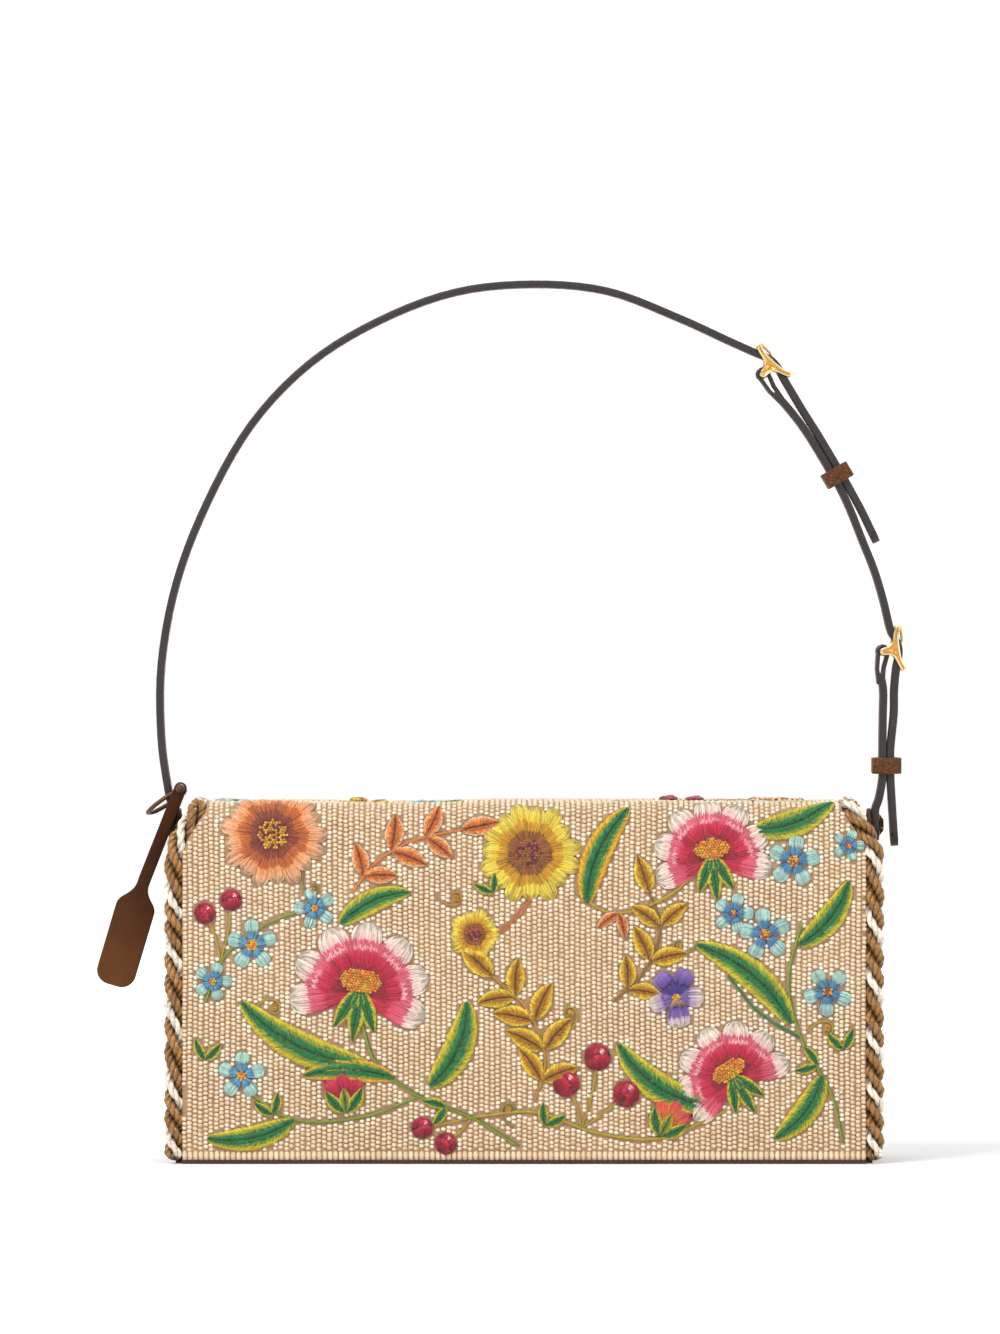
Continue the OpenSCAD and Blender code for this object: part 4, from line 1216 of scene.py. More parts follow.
def seam(p, q, up, pitch=SEAM_PITCH):
    """Lines of a row of running stitches from p to q."""
    p, q, up = (np.asarray(v, float) for v in (p, q, up))
    count = max(1, int(np.linalg.norm(q - p) / pitch))
    start = (np.arange(count) + (1 - SEAM_SHARE) / 2) / count
    t = start[:, None] + np.linspace(0, SEAM_SHARE / count, 5)[None]
    lift = np.array([-0.3, 0.12, 0.18, 0.12, -0.3])
    line = p + (q - p) * t[..., None] + up * lift[None, :, None]
    return line, np.broadcast_to(up, line.shape)


def seam_piece(name, lines, code, thread, slot, body="bag", wide=0.55):
    """A piece of sewing that rides on a body, from pairs of lines and the directions out of the leather."""
    line, up = (np.concatenate(v) for v in zip(*lines))
    row = sewn(name, line, up, np.full(len(line), wide), np.array(lin(code)), thread)
    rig.slot(row, slot)
    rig.ride(row, body)


# Operators, one for each group of pieces


class BAG_OT_cloth(bpy.types.Operator):
    """Adds the front and back cloths with their backings"""

    bl_idname = "bag.cloth"
    bl_label = "Cloth"

    def execute(self, context):
        look = context.scene.bag_cloth
        ground = woven("ground_cloth", look.ground, 900, 0.8, 0.4)
        backing = woven("backing_cloth", look.lining, 1100, 0.75, 0.3)
        for side, low, high, under, over, stands_for in (
            ("front", 0.0, MIDDLE, -BEAD_RISE, 0, ("flap_front",)),
            ("back", MIDDLE, RUN, 0, BEAD_RISE, ("back", "flap_top")),
        ):
            cloth = sheet_piece(f"cloth_{side}", low, high, 0, 0.85, 0.2, ground)
            lining = sheet_piece(f"backing_{side}", low + under, high + over, -0.95, 0.9, 0.0, backing)
            for obj, kind, slot in ((cloth, "cloth", "beaded_cloth"), (lining, "lining", "backing")):
                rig.replaces(obj, *(f"{node}_{kind}" for node in stands_for))
                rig.slot(obj, slot)
                fold_blend(obj, side == "front")
                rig.sheet(obj, flat=(2 * half_width(10.0) * MM, MIDDLE * MM), held="stretched")
        return {"FINISHED"}


# Columns of beads on each side of the middle one, and how far above the hem the first row and the
# middle of the ribbed hem are
COLUMNS, FIRST_ROW, RIB_ROW = 64, 4.25, 1.75


class BAG_OT_beads(bpy.types.Operator):
    """Sews the rows of beads and the ribbed hem on the cloth"""

    bl_idname = "bag.beads"
    bl_label = "Beads"

    def execute(self, context):
        look = context.scene.bag_cloth
        rng = np.random.default_rng(3)
        across, down = look.across / MM, look.down / MM
        column = np.arange(-COLUMNS, COLUMNS + 1)
        row = np.arange(0, int(MIDDLE / down) + 1)
        i, j = (v.ravel() for v in np.meshgrid(column, row, indexing="ij"))
        x = i * across
        q = FIRST_ROW + (j + 0.5 * (i % 2)) * down
        keep = q < MIDDLE + 0.1
        x, q = x[keep], q[keep]
        front = q < MIDDLE - down / 2
        x, s = np.concatenate([x, x[front]]), np.concatenate([q, RUN - q[front]])
        drift = 0.22 * np.sin(s * 0.05 + x * 0.02) + 0.12 * np.sin(s * 0.17 + x * 1.3)
        x = x + drift + rng.normal(0, 0.07, len(x))
        s = s + 0.3 * np.sin(x * 0.9) + rng.normal(0, 0.07, len(s))
        gap = gap_to_embroidery(np.stack([x, s], -1))
        keep = (np.abs(x) < half_width(s) - 0.75) & (gap > 0.3)
        hem = column * across
        hem = hem[np.abs(hem) < half_width(2.0) - 0.9]
        ends = np.full(len(hem), RIB_ROW)
        rib = np.arange(keep.sum() + 2 * len(hem)) >= keep.sum()
        x, s = np.concatenate([x[keep], hem, hem]), np.concatenate([s[keep], ends, RUN - ends])
        gap = np.concatenate([gap[keep], np.full(2 * len(hem), 9.0)])
        n = len(x)
        near = (1 - smooth(0.4, 3.0, gap + rng.normal(0, 0.5, n)))[:, None]
        deep = np.clip(rng.normal(0.25, 0.28, n), 0, 1)[:, None]
        tint = np.array(look.bead) * (1 - deep) + np.array(look.bead_deep) * deep
        tint = tint * (1 - near) + np.array(look.bead_pale) * near
        tint = np.clip(tint * (1 + rng.normal(0, 0.035, (n, 1))), 0, 1)
        size = 1 + rng.normal(0, 0.03, n)
        wide, long = 1.02 * size, np.where(rib, 1.95, 0.86 * size)
        high = look.relief / MM * (1 + rng.normal(0, 0.04, n)) * np.where(rib, 0.85, 1)
        points, *shape = bead_shape()
        glaze = bead_material()
        for end in ("front", "back"):
            for side in ("left", "right"):
                part = ((s < MIDDLE) == (end == "front")) & ((x < 0) == (side == "left"))
                laid = lay(points, x[part], s[part], wide[part], long[part], high[part], -0.08)
                obj = finished(repeated(f"beads_{end}_{side}", shape, laid, tint[part]), glaze)
                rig.slot(obj, "beaded_cloth")
                fold_blend(obj, end == "front")
        return {"FINISHED"}


# The width of thread that the design is drawn for
DRAWN_THREAD = 0.6
# Each zone of the embroidery, which is a piece of its own, from one x to the next
ZONES = (("far_left", -200, -64), ("near_left", -64, 0), ("near_right", 0, 64), ("far_right", 64, 200))


class BAG_OT_embroidery(bpy.types.Operator):
    """Embroiders the flowers, leaves and stalks"""

    bl_idname = "bag.embroidery"
    bl_label = "Embroidery"

    def execute(self, context):
        look = context.scene.bag_embroidery
        thread = thread_material("silk_thread", 0.4, 0.3, 0.9, 2.0, 0.05, 0.6, 1.4)
        padding = thread_material("padding_thread", 0.8, 0.2, 0.3, 3.0, 0.04)
        made = designs()
        xs, high, wide, tints = (
            np.concatenate([v for d in made for v in getattr(d, key)])
            for key in ("lines", "heights", "widths", "tints")
        )
        wide, tints = wide * look.thread / MM / DRAWN_THREAD, np.clip(tints, 0, 1)
        x, s = xs[..., 0], xs[..., 1]
        line, up = place(x, s, high), outward(s)
        ball, *shape = bead_shape()
        for end in ("front", "back"):
            front = end == "front"
            nets = []
            for grid, lift, tint in (fill for d in made for fill in d.fills):
                if (grid[..., 1].mean() < MIDDLE) != front:
                    continue
                over = place(grid[..., 0], grid[..., 1], lift)
                under = place(grid[..., 0], grid[..., 1], -0.3)[:, ::-1]
                rows = np.concatenate([over, under], 1)
                if np.cross(over[4, 3] - over[4, 1], over[5, 2] - over[3, 2]) @ outward(grid[4, 2, 1]) < 0:
                    rows = rows[:, ::-1]
                nets.append(net(rows, tints=tint))
            pieces = [finished(joined(f"embroidery_pads_{end}", nets), padding)]
            for zone, low_x, high_x in ZONES:
                middle = x.mean(1)
                part = ((s.mean(1) < MIDDLE) == front) & (middle >= low_x) & (middle < high_x)
                name = f"embroidery_{end}_{zone}"
                pieces.append(sewn(name, line[part], up[part], wide[part], tints[part], thread))
            knots = [knot for d in made for knot in d.knots if (knot[1] < MIDDLE) == front]
            kx, ks, kh, kr, kc = (np.array(v) for v in zip(*knots))
            name = f"embroidery_knots_{end}"
            laid = repeated(name, shape, lay(ball, kx, ks, kr, kr, kr, kh), np.clip(kc, 0, 1))
            pieces.append(finished(laid, thread_material(name, 0.5, 0.4, 4.0, 2.0)))
            for obj in pieces:
                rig.slot(obj, "beaded_cloth")
                fold_blend(obj, front)
        return {"FINISHED"}


def rope_line(side):
    """The middle of one edge rope, from its front foot over the top to its back foot, and its run."""
    corner_r, foot = 5.0, 1.3
    turn = np.linspace(0, ROPE_LEAN, 7)
    leaning = ROPE_X - ROPE_BEND_R * (1 - np.cos(turn))
    up = np.stack([leaning, np.full(7, -FOLD_Y), BEND_Z + ROPE_BEND_R * np.sin(turn)], -1)
    a = np.array([-math.sin(ROPE_LEAN), 0, math.cos(ROPE_LEAN)])
    corner, b = np.array([ROPE_TOP_X, -FOLD_Y, FOLD_Z]), np.array([0, 1.0, 0])
    bend = np.linspace(0, math.pi / 2, 9)[:, None]
    fold = corner - a * corner_r * (1 - np.sin(bend)) + b * corner_r * (1 - np.cos(bend))
    half = np.concatenate([[[ROPE_X, -FOLD_Y, foot]], up, fold, [[ROPE_TOP_X, 0, FOLD_Z]]])
    line = np.concatenate([half, half[-2::-1] * [1, -1, 1]])
    run = lengths(line)
    even = np.linspace(0, run[-1], 2 * int(run[-1] / 0.8 / 2) + 1)
    line = np.stack([np.interp(even, run, line[:, k]) for k in range(3)], -1)
    for _ in range(2):
        line[1:-1] = (line[:-2] + 2 * line[1:-1] + line[2:]) / 4
    return line * [side, 1, 1], even


# Heights at which the cream strand crosses the front of each rope
CREAM_LEFT, CREAM_RIGHT = (6.2, 26.6, 54.7, 79.7, 98.9, 125.1), (7.3, 26.6, 45.8, 68.5, 90.9, 117.0)
# Each strand's place round the rope, in degrees, its distance from the middle, how many yarns it has,
# their distance from the strand's middle and their radius; the first strand is the cream one
STRANDS = ((0, 2.42, 3, 0.95, 0.93), (114, 2.1, 4, 1.14, 0.98), (-114, 2.1, 4, 1.14, 0.98))


class BAG_OT_ropes(bpy.types.Operator):
    """Twists the two edge ropes from bronze and cream yarn"""

    bl_idname = "bag.ropes"
    bl_label = "Edge ropes"

    def execute(self, context):
        look = context.scene.bag_rope
        yarn = thread_material("rope_yarn", 0.28, 0.1, 0.1, 4.0, 0.1, 0.5, 1.6)
        soiled = np.array(lin("5f3a24"))
        rng = np.random.default_rng(8)
        for side, name, seen in ((-1, "left", CREAM_LEFT), (1, "right", CREAM_RIGHT)):
            line, run = rope_line(side)
            a, b = frames(line)
            middle = len(line) // 2
            at = [float(np.interp(z, line[:middle, 2], run[:middle])) for z in seen]
            at = np.array([at[0] - look.lay / MM, *at, *(at[-1] + look.lay / MM * np.arange(1, 14))])
            phi = np.interp(run, at, -math.pi / 2 - 2 * math.pi * (np.arange(len(at)) - 1))
            ends = np.minimum(run, run[-1] - run)
            taper = np.sqrt(np.clip(1 - (1 - np.clip(ends / 3.4, 0, 1)) ** 2, 0.03, 1))
            foot = (1 - smooth(0.6, 2.4, ends))[:, None, None]
            turns = np.arange(7) * 2 * math.pi / 7
            nets = {"front": [], "back": []}
            for strand, (turn, off, plies, ply_off, ply_r) in enumerate(STRANDS):
                cream = strand == 0
                base = np.array(look.cream if cream else look.bronze)
                for ply in range(plies):
                    spin = 2 * math.pi * (run / (look.ply_lay / MM) + ply / plies + 0.13 * strand)
                    mid = line + (off * taper)[:, None] * around(a, b, phi + math.radians(turn))
                    mid = mid + (ply_off * taper)[:, None] * around(a, b, spin)
                    r = (ply_r * taper * (1 + 0.03 * np.sin(run * 0.9 + ply)))[:, None, None]
                    rows = mid[:, None] + r * around(a[:, None], b[:, None], turns[None])
                    tone = 1 + rng.normal(0, 0.05 if cream else 0.14) + 0.07 * np.sin(run * 0.21 + 3 * ply)
                    # Painted shade: yarn nearer the rope's middle, down in the crevices between the strands, darkens
                    # towards 0.42 of its colour, less on the cream strand.
                    depth = np.linalg.norm(rows - line[:, None], axis=2) / taper[:, None]
                    worn = (0.42 + 0.58 * smooth(2.0, 3.7, depth))[..., None] ** (0.4 if cream else 1)
                    tint = np.clip(base * tone[:, None, None] * worn, 0, 1)
                    tint = tint * (1 - foot) + soiled * foot
                    for part, cut in (("front", slice(middle + 1)), ("back", slice(middle, None))):
                        nets[part].append(net(rows[cut], tint[cut], run[-1] / 2))
            for part, nodes in (("front", ("front", "top")), ("back", ("back",))):
                obj = finished(joined(f"twist_{part}_{name}", nets[part]), yarn)
                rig.replaces(obj, *(f"rope_{node}_{name}" for node in nodes))
                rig.slot(obj, "rope")
                fold_blend(obj, part == "front", 1.6, 2.0)
        return {"FINISHED"}


def sink_fields(bm, field):
    """Sinks a field with a raised rim into the outer face of each side rail."""
    rim, slope, depth = field
    for side in (-1, 1):
        bm.normal_update()
        flat = [f for f in bm.faces if f.normal.y * side > 0.99]
        most = max(f.calc_area() for f in flat)
        broad = [f for f in flat if f.calc_area() > most / 2]
        face = max(broad, key=lambda f: f.calc_center_median().y * side)
        y = face.calc_center_median().y
        ring = np.array([(v.co.x, v.co.z) for v in face.verts]) / MM
        ahead = np.roll(ring, -1, 0) - ring
        ahead /= np.linalg.norm(ahead, axis=1)[:, None]
        turn = ahead + np.roll(ahead, 1, 0)
        turn /= np.linalg.norm(turn, axis=1)[:, None]
        inward = np.stack([-turn[:, 1], turn[:, 0]], -1)
        if signed_gap(ring + inward * 0.01, ring).mean() > 0:
            inward = -inward
        top, low = ring + inward * rim, ring + inward * (rim + slope)
        fits = (signed_gap(top, ring) < -0.96 * rim) & (signed_gap(low, ring) < -0.96 * (rim + slope))
        border = face.edges[:]
        bmesh.ops.delete(bm, geom=[face], context="FACES_ONLY")
        high = [bm.verts.new((x * MM, y, z * MM)) for x, z in top[fits]]
        deep = [bm.verts.new((x * MM, y - side * depth * MM, z * MM)) for x, z in low[fits]]
        count = len(high)
        border += [bm.edges.new((high[i], high[(i + 1) % count])) for i in range(count)]
        bmesh.ops.triangle_fill(bm, use_beauty=True, edges=border, normal=(0, side, 0))
        for i in range(count):
            k = (i + 1) % count
            bm.faces.new((high[i], high[k], deep[k], deep[i]))
        bm.faces.new(deep).material_index = 1
    bmesh.ops.recalc_face_normals(bm, faces=bm.faces[:])


def solid_of(node, rails=False):
    """A CAD node's solid with its flat faces whole; rails keeps the inner faces of a buckle's rails as they
    are, because they have holes where its bars join."""
    bm = bmesh.new()
    bm.from_mesh(frame["nodes"][node].data)
    bm.transform(frame["nodes"][node].matrix_world)
    bmesh.ops.remove_doubles(bm, verts=bm.verts[:], dist=3e-6)
    edges = bm.edges[:]
    if rails:
        side = max(v.co.y for v in bm.verts) - 0.1 * MM
        bm.normal_update()
        edges = [
            e for e in edges
            if max(abs(v.co.y) for v in e.verts) > side or any(abs(f.normal.y) < 0.99 for f in e.link_faces)
        ]
    bmesh.ops.dissolve_limit(bm, angle_limit=math.radians(0.4), verts=bm.verts[:], edges=edges)
    return bm


def dressed(
    node, mats, slot, bevel=0.3, segments=2,
    slices=(), shape=None, edge=None, sharp=32, fuse=0.003, pick=None, field=None,
):
    """A CAD node's solid with eased edges and its finish, standing for the node."""
    bm = solid_of(node, bool(field))
    bmesh.ops.remove_doubles(bm, verts=bm.verts[:], dist=fuse * MM)
    for axis, places in slices:
        for at in places:
            whole = bm.verts[:] + bm.edges[:] + bm.faces[:]
            normal = [float(k == axis) for k in range(3)]
            spot = [at * MM * v for v in normal]
            bmesh.ops.bisect_plane(bm, geom=whole, dist=1e-6, plane_co=spot, plane_no=normal)
    keen = [
        e for e in bm.edges
        if e.is_manifold and e.calc_face_angle(0) > math.radians(sharp) and (pick is None or pick(e))
    ]
    if keen and bevel:
        bmesh.ops.bevel(
            bm, geom=keen, offset=bevel * MM, offset_type="OFFSET", segments=segments,
            profile=0.5, affect="EDGES", clamp_overlap=False, material=-1,
        )
    if field:
        sink_fields(bm, field)
    if shape:
        for v in bm.verts:
            v.co = Vector(shape(v.co / MM)) * MM
    bmesh.ops.triangulate(bm, faces=[f for f in bm.faces if len(f.verts) > 4])
    if edge:
        for f in bm.faces:
            f.material_index = 1 if edge(f) else 0
    obj = from_bmesh(f"{node}_finish", bm, 38)
    for mat in mats:
        obj.data.materials.append(mat)
    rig.replaces(obj, node)
    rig.slot(obj, slot)
    for body, carrier in frame["bodies"].items():
        if frame["nodes"][node] in carrier.children_recursive:
            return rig.ride(obj, body)
    raise RuntimeError(f"{node} is on no body")


def strap_seams(node, clear):
    """Rows of stitches on both faces of a strap piece, away from the places in clear."""
    bm = solid_of(node)
    face = max((f for f in bm.faces if f.normal.y < -0.99), key=lambda f: f.calc_area())
    ring = np.array([(v.co.x, v.co.z) for v in face.verts]) / MM
    bm.free()
    ring = np.concatenate([ring, ring[:1]])
    run = lengths(ring)
    half = SEAM_SHARE / 2
    at = np.arange(SEAM_PITCH, run[-1], SEAM_PITCH)[:, None] + np.linspace(-half, half, 5)[None] * SEAM_PITCH
    x, z = (np.interp(at, run, ring[:, k]) for k in (0, 1))
    way = np.stack([x[:, 4] - x[:, 0], z[:, 4] - z[:, 0]], -1)
    keep = np.linalg.norm(way, axis=1) > 0.7 * SEAM_PITCH
    way /= np.linalg.norm(way, axis=1)[:, None] + 1e-9
    for spot, r in clear:
        keep = keep & (np.hypot(x[:, 2] - spot.x, z[:, 2] - spot.z) > r)
    x, z, way = x[keep], z[keep], way[keep]
    area = (ring[:-1, 0] * ring[1:, 1] - ring[1:, 0] * ring[:-1, 1]).sum()
    out = np.stack([way[:, 1], -way[:, 0]], -1) * (1 if area > 0 else -1)
    up = np.stack([out[:, 0], np.zeros(len(out)), out[:, 1]], -1)[:, None].repeat(5, 1)
    lift = np.array([-0.36, -0.2, -0.18, -0.2, -0.36])[None, :, None]
    return [(np.stack([x, np.full(x.shape, y), z], -1) + up * lift, up) for y in (-4.3, 4.3)]


class BAG_OT_strap(bpy.types.Operator):
    """Finishes the three leather pieces of the strap"""

    bl_idname = "bag.strap"
    bl_label = "Strap"

    def execute(self, context):
        look = context.scene.bag_leather
        face = leather("strap_leather_face", look.strap, 1700, 0.4, coat=0.06, shine=0.24)
        edge = edge_paint_and_highlight("strap_edge_paint", look.edge)
        thread = thread_material("strap_thread", 0.5, 0.2)
        pairs = (("buckle_upper", "buckle_lower", 17), ("keeper_upper", "keeper_lower", 4.6))
        pairs += (("strap_rivet_left", "strap_rivet_right", 8.5), ("tag_lace", "tag_lace", 7))
        clear = [(sum(box_axes(node), Vector()) / 2, r) for *nodes, r in pairs for node in nodes]
        for node in ("strap_long", "strap_middle", "strap_short"):
            dressed(
                node, (face, edge), "strap_leather", 0.62, 3, slices=((1, (0,)),), sharp=50, fuse=0.1,
                edge=lambda f: abs(f.normal.y) > 0.42,
                pick=lambda e: min(abs(v.co.y) for v in e.verts) > 5.9 * MM,
            )
            rows = strap_seams(node, clear)
            if len(rows[0][0]):
                seam_piece(f"{node}_stitches", rows, "6f543f", thread, "strap_leather", "strap")
        return {"FINISHED"}


class BAG_OT_metal(bpy.types.Operator):
    """Polishes the buckles, prongs, rivets and the snap"""

    bl_idname = "bag.metal"
    bl_label = "Buckles, rivets and snap"

    def execute(self, context):
        metal, field = gold("polished_gold", "f7deb0"), gold("brushed_gold", "d59d55", 0.26)
        for node in ("buckle_upper", "buckle_lower"):
            dressed(node, (metal, field), "gold_metal", 0.3, 3, sharp=50, field=(0.18, 0.1, 0.42))
        for node in ("prong_upper", "prong_lower"):
            dressed(node, (metal,), "gold_metal", 0.25, 3, sharp=50)
        for node in ("strap_rivet_left", "strap_rivet_right", "snap_socket", "snap_stud"):
            dressed(node, (metal,), "gold_metal", 0.16, 2)
        return {"FINISHED"}


class BAG_OT_keepers(bpy.types.Operator):
    """Finishes the two leather keepers"""

    bl_idname = "bag.keepers"
    bl_label = "Keepers"

    def execute(self, context):
        colour, values = context.scene.bag_leather.keeper, {"crease": 0.7, "depth": 0.3, "blotch": 650.0}
        band = leather("keeper_leather_grain", colour, 620, 0.3, 0.5, shine=0.2, **values)
        # Painted highlight: the keepers' end faces take a paler grey-brown, for their rims catching the light.
        rim = edge_paint_and_highlight("keeper_rim_paint", "8d7a68")
        # The strap's direction at each keeper
        for node, way in (("keeper_upper", (-0.504528, 0, 0.863395)), ("keeper_lower", (0, 0, 1))):
            along = Vector(way)
            end = lambda f, along=along: abs(f.normal @ along) > 0.8
            dressed(node, (band, rim), "keeper_leather", 0.4, 3, edge=end)
        return {"FINISHED"}


class BAG_OT_tag(bpy.types.Operator):
    """Hangs the leather tag on its tied lace"""

    bl_idname = "bag.tag"
    bl_label = "Tag and lace"

    def execute(self, context):
        look = context.scene.bag_leather
        low, high = box_axes("tag")
        foot = (look.tag_worn, low.z, low.z + 42)
        values = {"coat": 0.05, "crease": 0.3, "depth": 0.05, "worn": foot, "shine": 0.1}
        face = leather("tag_leather_face", look.tag, 2100, 0.3, **values)
        edge = edge_paint_and_highlight("tag_edge_paint", "2c1a12")
        pin = Vector((high.x - TAG_STEM / 2, 0, high.z - TAG_STEM / 2))
        lean = math.radians(TAG_LEAN)
        runs = np.linspace(0, 90, 91)
        turn = np.radians(TAG_LEAN + 2 - 5 * smooth(33, 50, runs))
        down, left = np.cumsum(np.cos(turn)) - math.cos(turn[0]), np.cumsum(np.sin(turn)) - math.sin(turn[0])

        def hang(p):
            """Where a point of the straight tag lies once the tag hangs in a slight curve."""
            dx, dz = p.x - pin.x, p.z - pin.z
            run = -dx * math.sin(lean) - dz * math.cos(lean)
            off = dx * math.cos(lean) - dz * math.sin(lean)
            a, out, sunk = (float(np.interp(run, runs, v)) for v in (turn, left, down))
            x = pin.x - out + off * math.cos(a) - min(run, 0) * math.sin(a)
            z = pin.z - sunk - off * math.sin(a) - min(run, 0) * math.cos(a)
            return x, p.y - 1.1 * (max(run, 0) / 80) ** 2, z

        rows = ((2, np.arange(low.z + 8, high.z - 5, 2.5)),)
        side = lambda f: abs(f.normal.y) < 0.7
        dressed("tag", (face, edge), "tag_leather", 0.45, 3, rows, hang, side, sharp=50)
        cord = leather("lace_leather", "5e3b22", 2600, 0.26, coat=0.2, depth=0.05, shine=0.2)
        dressed("tag_lace", (cord,), "tag_leather", 0)
        return {"FINISHED"}


def bent(lines, shape):
    """A seam's lines moved as the wall under them is."""
    line, up = lines
    return np.array([shape(Vector(p)) for p in line.reshape(-1, 3)]).reshape(line.shape), up


class BAG_OT_walls(bpy.types.Operator):
    """Finishes the leather sides, front wall and base"""

    bl_idname = "bag.walls"
    bl_label = "Leather walls"

    def execute(self, context):
        look = context.scene.bag_leather
        skin = leather("wall_leather_grain", look.wall, 1300, 0.46, 0.14, 0.06, shine=0.22)
        thread = thread_material("wall_thread", 0.5, 0.2)

        def sag(p):
            inner = 1 - smooth(118, 124, p.z)
            wave = 0.35 * math.sin(p.z * 0.09 + p.y * 0.1) + 0.2 * math.sin(p.z * 0.21 + 1.3)
            return p.x + math.copysign(float(inner), p.x) * wave * 0.8, p.y, p.z

        cuts = ((2, np.arange(6, 118, 4)), (1, (0,)))
        for node, side in (("gusset_left", -1), ("gusset_right", 1)):
            dressed(node, (skin,), "wall_leather", slices=cuts, shape=sag)
            low, high = box_axes(node)
            x = (high.x if side > 0 else low.x) + side * 0.02
            rows = [seam((x, y, 121), (x, y, 127.5), (side, 0, 0), 2.9) for y in (-5.2, 5.2)]
            rows += [seam((x, y, 5), (x, y, 112), (side, 0, 0)) for y in (low.y + 2.6, high.y - 10.5)]
            rows = [bent(row, sag) for row in rows]
            seam_piece(f"{node}_stitches", rows, "8a6a50", thread, "wall_leather")
        for node in ("front_panel", "base_panel"):
            dressed(node, (skin,), "wall_leather")
        low, high = box_axes("front_panel")
        x, y, top, foot = high.x - 2.6, low.y - 0.02, high.z - 2.6, 4.5
        corners = ((-x, y, foot), (-x, y, top), (x, y, top), (x, y, foot), (-x, y, foot))
        rows = [seam(a, b, (0, -1, 0)) for a, b in zip(corners, corners[1:])]
        seam_piece("front_panel_stitches", rows, "8a6a50", thread, "wall_leather")
        board, t = material("base_board_fibre")
        colour, tone = t.tone("8d8478", 160.0, 0.2, t.coords((1, 6, 1)))
        surface(board, t, colour, t.span(tone, -1, 1, 0.8, 0.95))
        dressed("base_board", (board,), "board", 0.2)
        return {"FINISHED"}


class BAG_OT_lining(bpy.types.Operator):
    """Sews the compartment lining and its slip pocket"""

    bl_idname = "bag.lining"
    bl_label = "Lining and pocket"

    def execute(self, context):
        colour = context.scene.bag_lining.cloth

        def slack(p):
            k = float(1 - smooth(122, 130, p.z))
            wave = 0.4 * math.sin(p.x * 0.07 + p.z * 0.05) + 0.2 * math.sin(p.x * 0.19 - p.z * 0.11)
            return p.x + k * 0.35 * math.sin(p.z * 0.13 + p.y * 0.2), p.y + k * wave, p.z

        for node, name, gain, heights, widths in (
            ("compartment_lining", "lining", 1.0, (8, 128, 6), (-120, 121, 8)),
            ("slip_pocket", "pocket", 0.85, (38, 104, 6), (-68, 69, 8)),
        ):
            cloth = woven(f"{name}_weave", lin(colour, gain), 1700, 0.7, 0.35, walls=True)
            cuts = ((2, np.arange(*heights)), (0, np.arange(*widths)))
            dressed(node, (cloth,), "inner_lining", 0.25, slices=cuts, shape=slack)
        low, high = box_axes("slip_pocket")
        thread = thread_material("pocket_thread", 0.5, 0.2)
        ends = ((x, low.y, high.z - 3) for x in (low.x + 2, high.x - 2))
        row = bent(seam(*ends, (0, -1, 0), 2.6), slack)
        seam_piece("pocket_stitches", [row], "b58f7c", thread, "inner_lining", wide=0.5)
        return {"FINISHED"}


def aimed(name, data, at, aim):
    """A lamp or camera at a place, turned towards another."""
    obj = linked(name, data)
    obj.location = at
    obj.rotation_euler = (Vector(aim) - Vector(at)).to_track_quat("-Z", "Y").to_euler()
    return obj


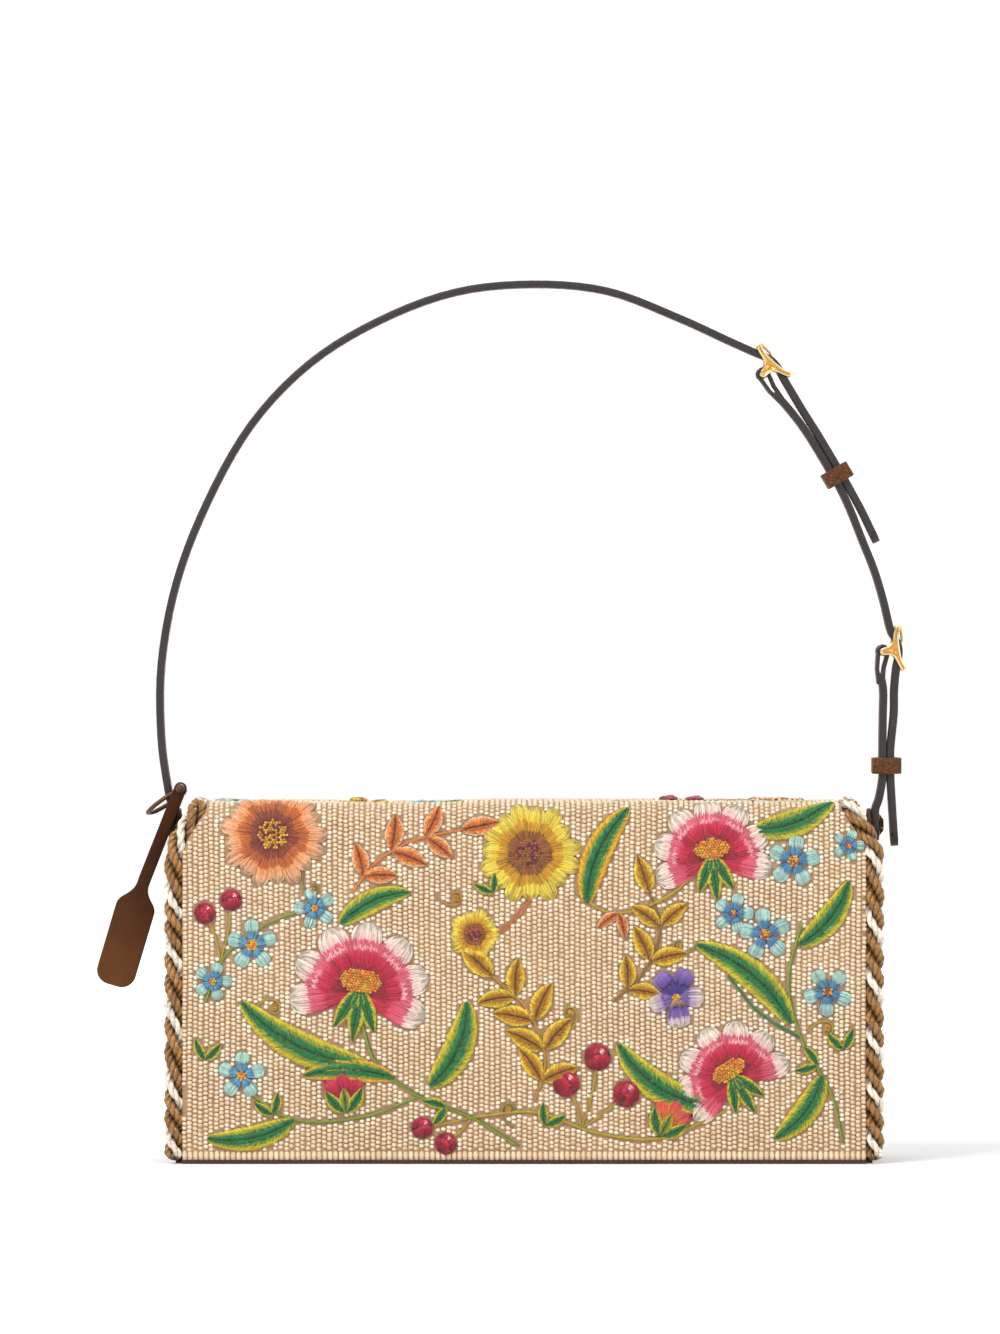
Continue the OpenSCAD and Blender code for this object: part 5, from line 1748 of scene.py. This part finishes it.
class BAG_OT_stage(bpy.types.Operator):
    """Sets the pale floor, the soft lamps and the camera"""

    bl_idname = "bag.stage"
    bl_label = "Stage"

    def execute(self, context):
        scene = context.scene
        look = scene.bag_stage
        bm = bmesh.new()
        bmesh.ops.create_grid(bm, x_segments=1, y_segments=1, size=30)
        floor = from_bmesh("floor", bm)
        mat, t = material("floor_paper")
        paper = t.mix(t.noise(t.coords(), 30, 2), (0.93, 0.93, 0.93), (0.95, 0.95, 0.95))
        seen = t.add("LightPath").outputs["Is Camera Ray"]
        far = t.add("VectorMath", t.coords(), operation="LENGTH").outputs["Value"]
        shine = t.times(seen, t.span(far, 0.4, 1.6, 0.14, 0.5))
        glow = {"Emission Color": (1, 1, 1, 1), "Emission Strength": shine}
        floor.data.materials.append(surface(mat, t, paper, 0.9, Specular_IOR_Level=0.1, **glow))
        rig.stage(floor)
        world = bpy.data.worlds.new("studio")
        scene.world = world
        world.use_nodes = True
        t = Tree(world.node_tree)
        path = t.add("LightPath").outputs
        x, _, z = t.split(t.add("TexCoord").outputs["Generated"])
        wave = t.math("SINE", t.math("MULTIPLY_ADD", z, 9.0, t.math("MULTIPLY_ADD", x, 4.0, -1.3)))
        boxes = t.span(wave, -0.6, 0.6, 0.36 - look.dome, 1.3 - look.dome)
        even = t.math("MULTIPLY_ADD", path["Is Camera Ray"], 1.1 - look.dome, look.dome)
        back = world.node_tree.nodes["Background"]
        t.put(back, "Color", (1, 1, 1, 1))
        t.put(back, "Strength", t.math("ADD", even, t.times(path["Is Glossy Ray"], boxes)))
        for name, at, size, share in (
            ("key_lamp", (-1.0, -1.2, 1.7), 0.9, 1),
            ("fill_lamp", (1.5, -1.2, 0.7), 1.2, 0.25),
            ("back_lamp", (0.3, 1.6, 1.2), 1.2, 0.4),
        ):
            data = bpy.data.lights.new(name, "AREA")
            data.size, data.energy = size, look.key * share
            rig.stage(aimed(name, data, at, (0, 0, 0.14)))
        data = bpy.data.cameras.new("camera")
        data.lens, data.sensor_width, data.clip_end = 245.4, 36, 100
        spot, far = Vector((-0.00924, 0, 0.1898)), 3.5
        scene.camera = aimed("camera", data, spot + far * Vector((0, -1, math.tan(math.radians(0.7)))), spot)
        scene.view_settings.view_transform = "Standard"
        return {"FINISHED"}


class BAG_PT_panel(bpy.types.Panel):
    """Lists the pieces of the bag"""

    bl_label = "Beaded flap bag"
    bl_idname = "BAG_PT_panel"
    bl_space_type = "VIEW_3D"
    bl_region_type = "UI"
    bl_category = "Bag"

    def draw(self, context):
        for name, group in SETTINGS.items():
            box = self.layout.box()
            box.label(text=group.__doc__)
            for key in group.__annotations__:
                box.prop(getattr(context.scene, name), key)
        for operator in OPERATORS:
            self.layout.operator(operator.bl_idname)


SETTINGS = {
    "bag_cloth": ClothSettings,
    "bag_embroidery": EmbroiderySettings,
    "bag_rope": RopeSettings,
    "bag_leather": LeatherSettings,
    "bag_lining": LiningSettings,
    "bag_stage": StageSettings,
}
OPERATORS = (
    BAG_OT_cloth,
    BAG_OT_beads,
    BAG_OT_embroidery,
    BAG_OT_ropes,
    BAG_OT_strap,
    BAG_OT_metal,
    BAG_OT_keepers,
    BAG_OT_tag,
    BAG_OT_walls,
    BAG_OT_lining,
    BAG_OT_stage,
)


def register():
    for cls in (*SETTINGS.values(), *OPERATORS, BAG_PT_panel):
        bpy.utils.register_class(cls)
    for name, group in SETTINGS.items():
        setattr(bpy.types.Scene, name, PointerProperty(type=group))


def unregister():
    for name in SETTINGS:
        delattr(bpy.types.Scene, name)
    for cls in (BAG_PT_panel, *reversed(OPERATORS), *SETTINGS.values()):
        bpy.utils.unregister_class(cls)


def main():
    register()
    for operator in OPERATORS:
        group, name = operator.bl_idname.split(".")
        getattr(getattr(bpy.ops, group), name)()
    sizes = {"cad": [list(v) for v in CAD_BOX], "visual": [list(v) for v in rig.bounds()]}
    with open("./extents.json", "w") as out:
        json.dump(sizes, out)


if __name__ == "__main__":
    main()
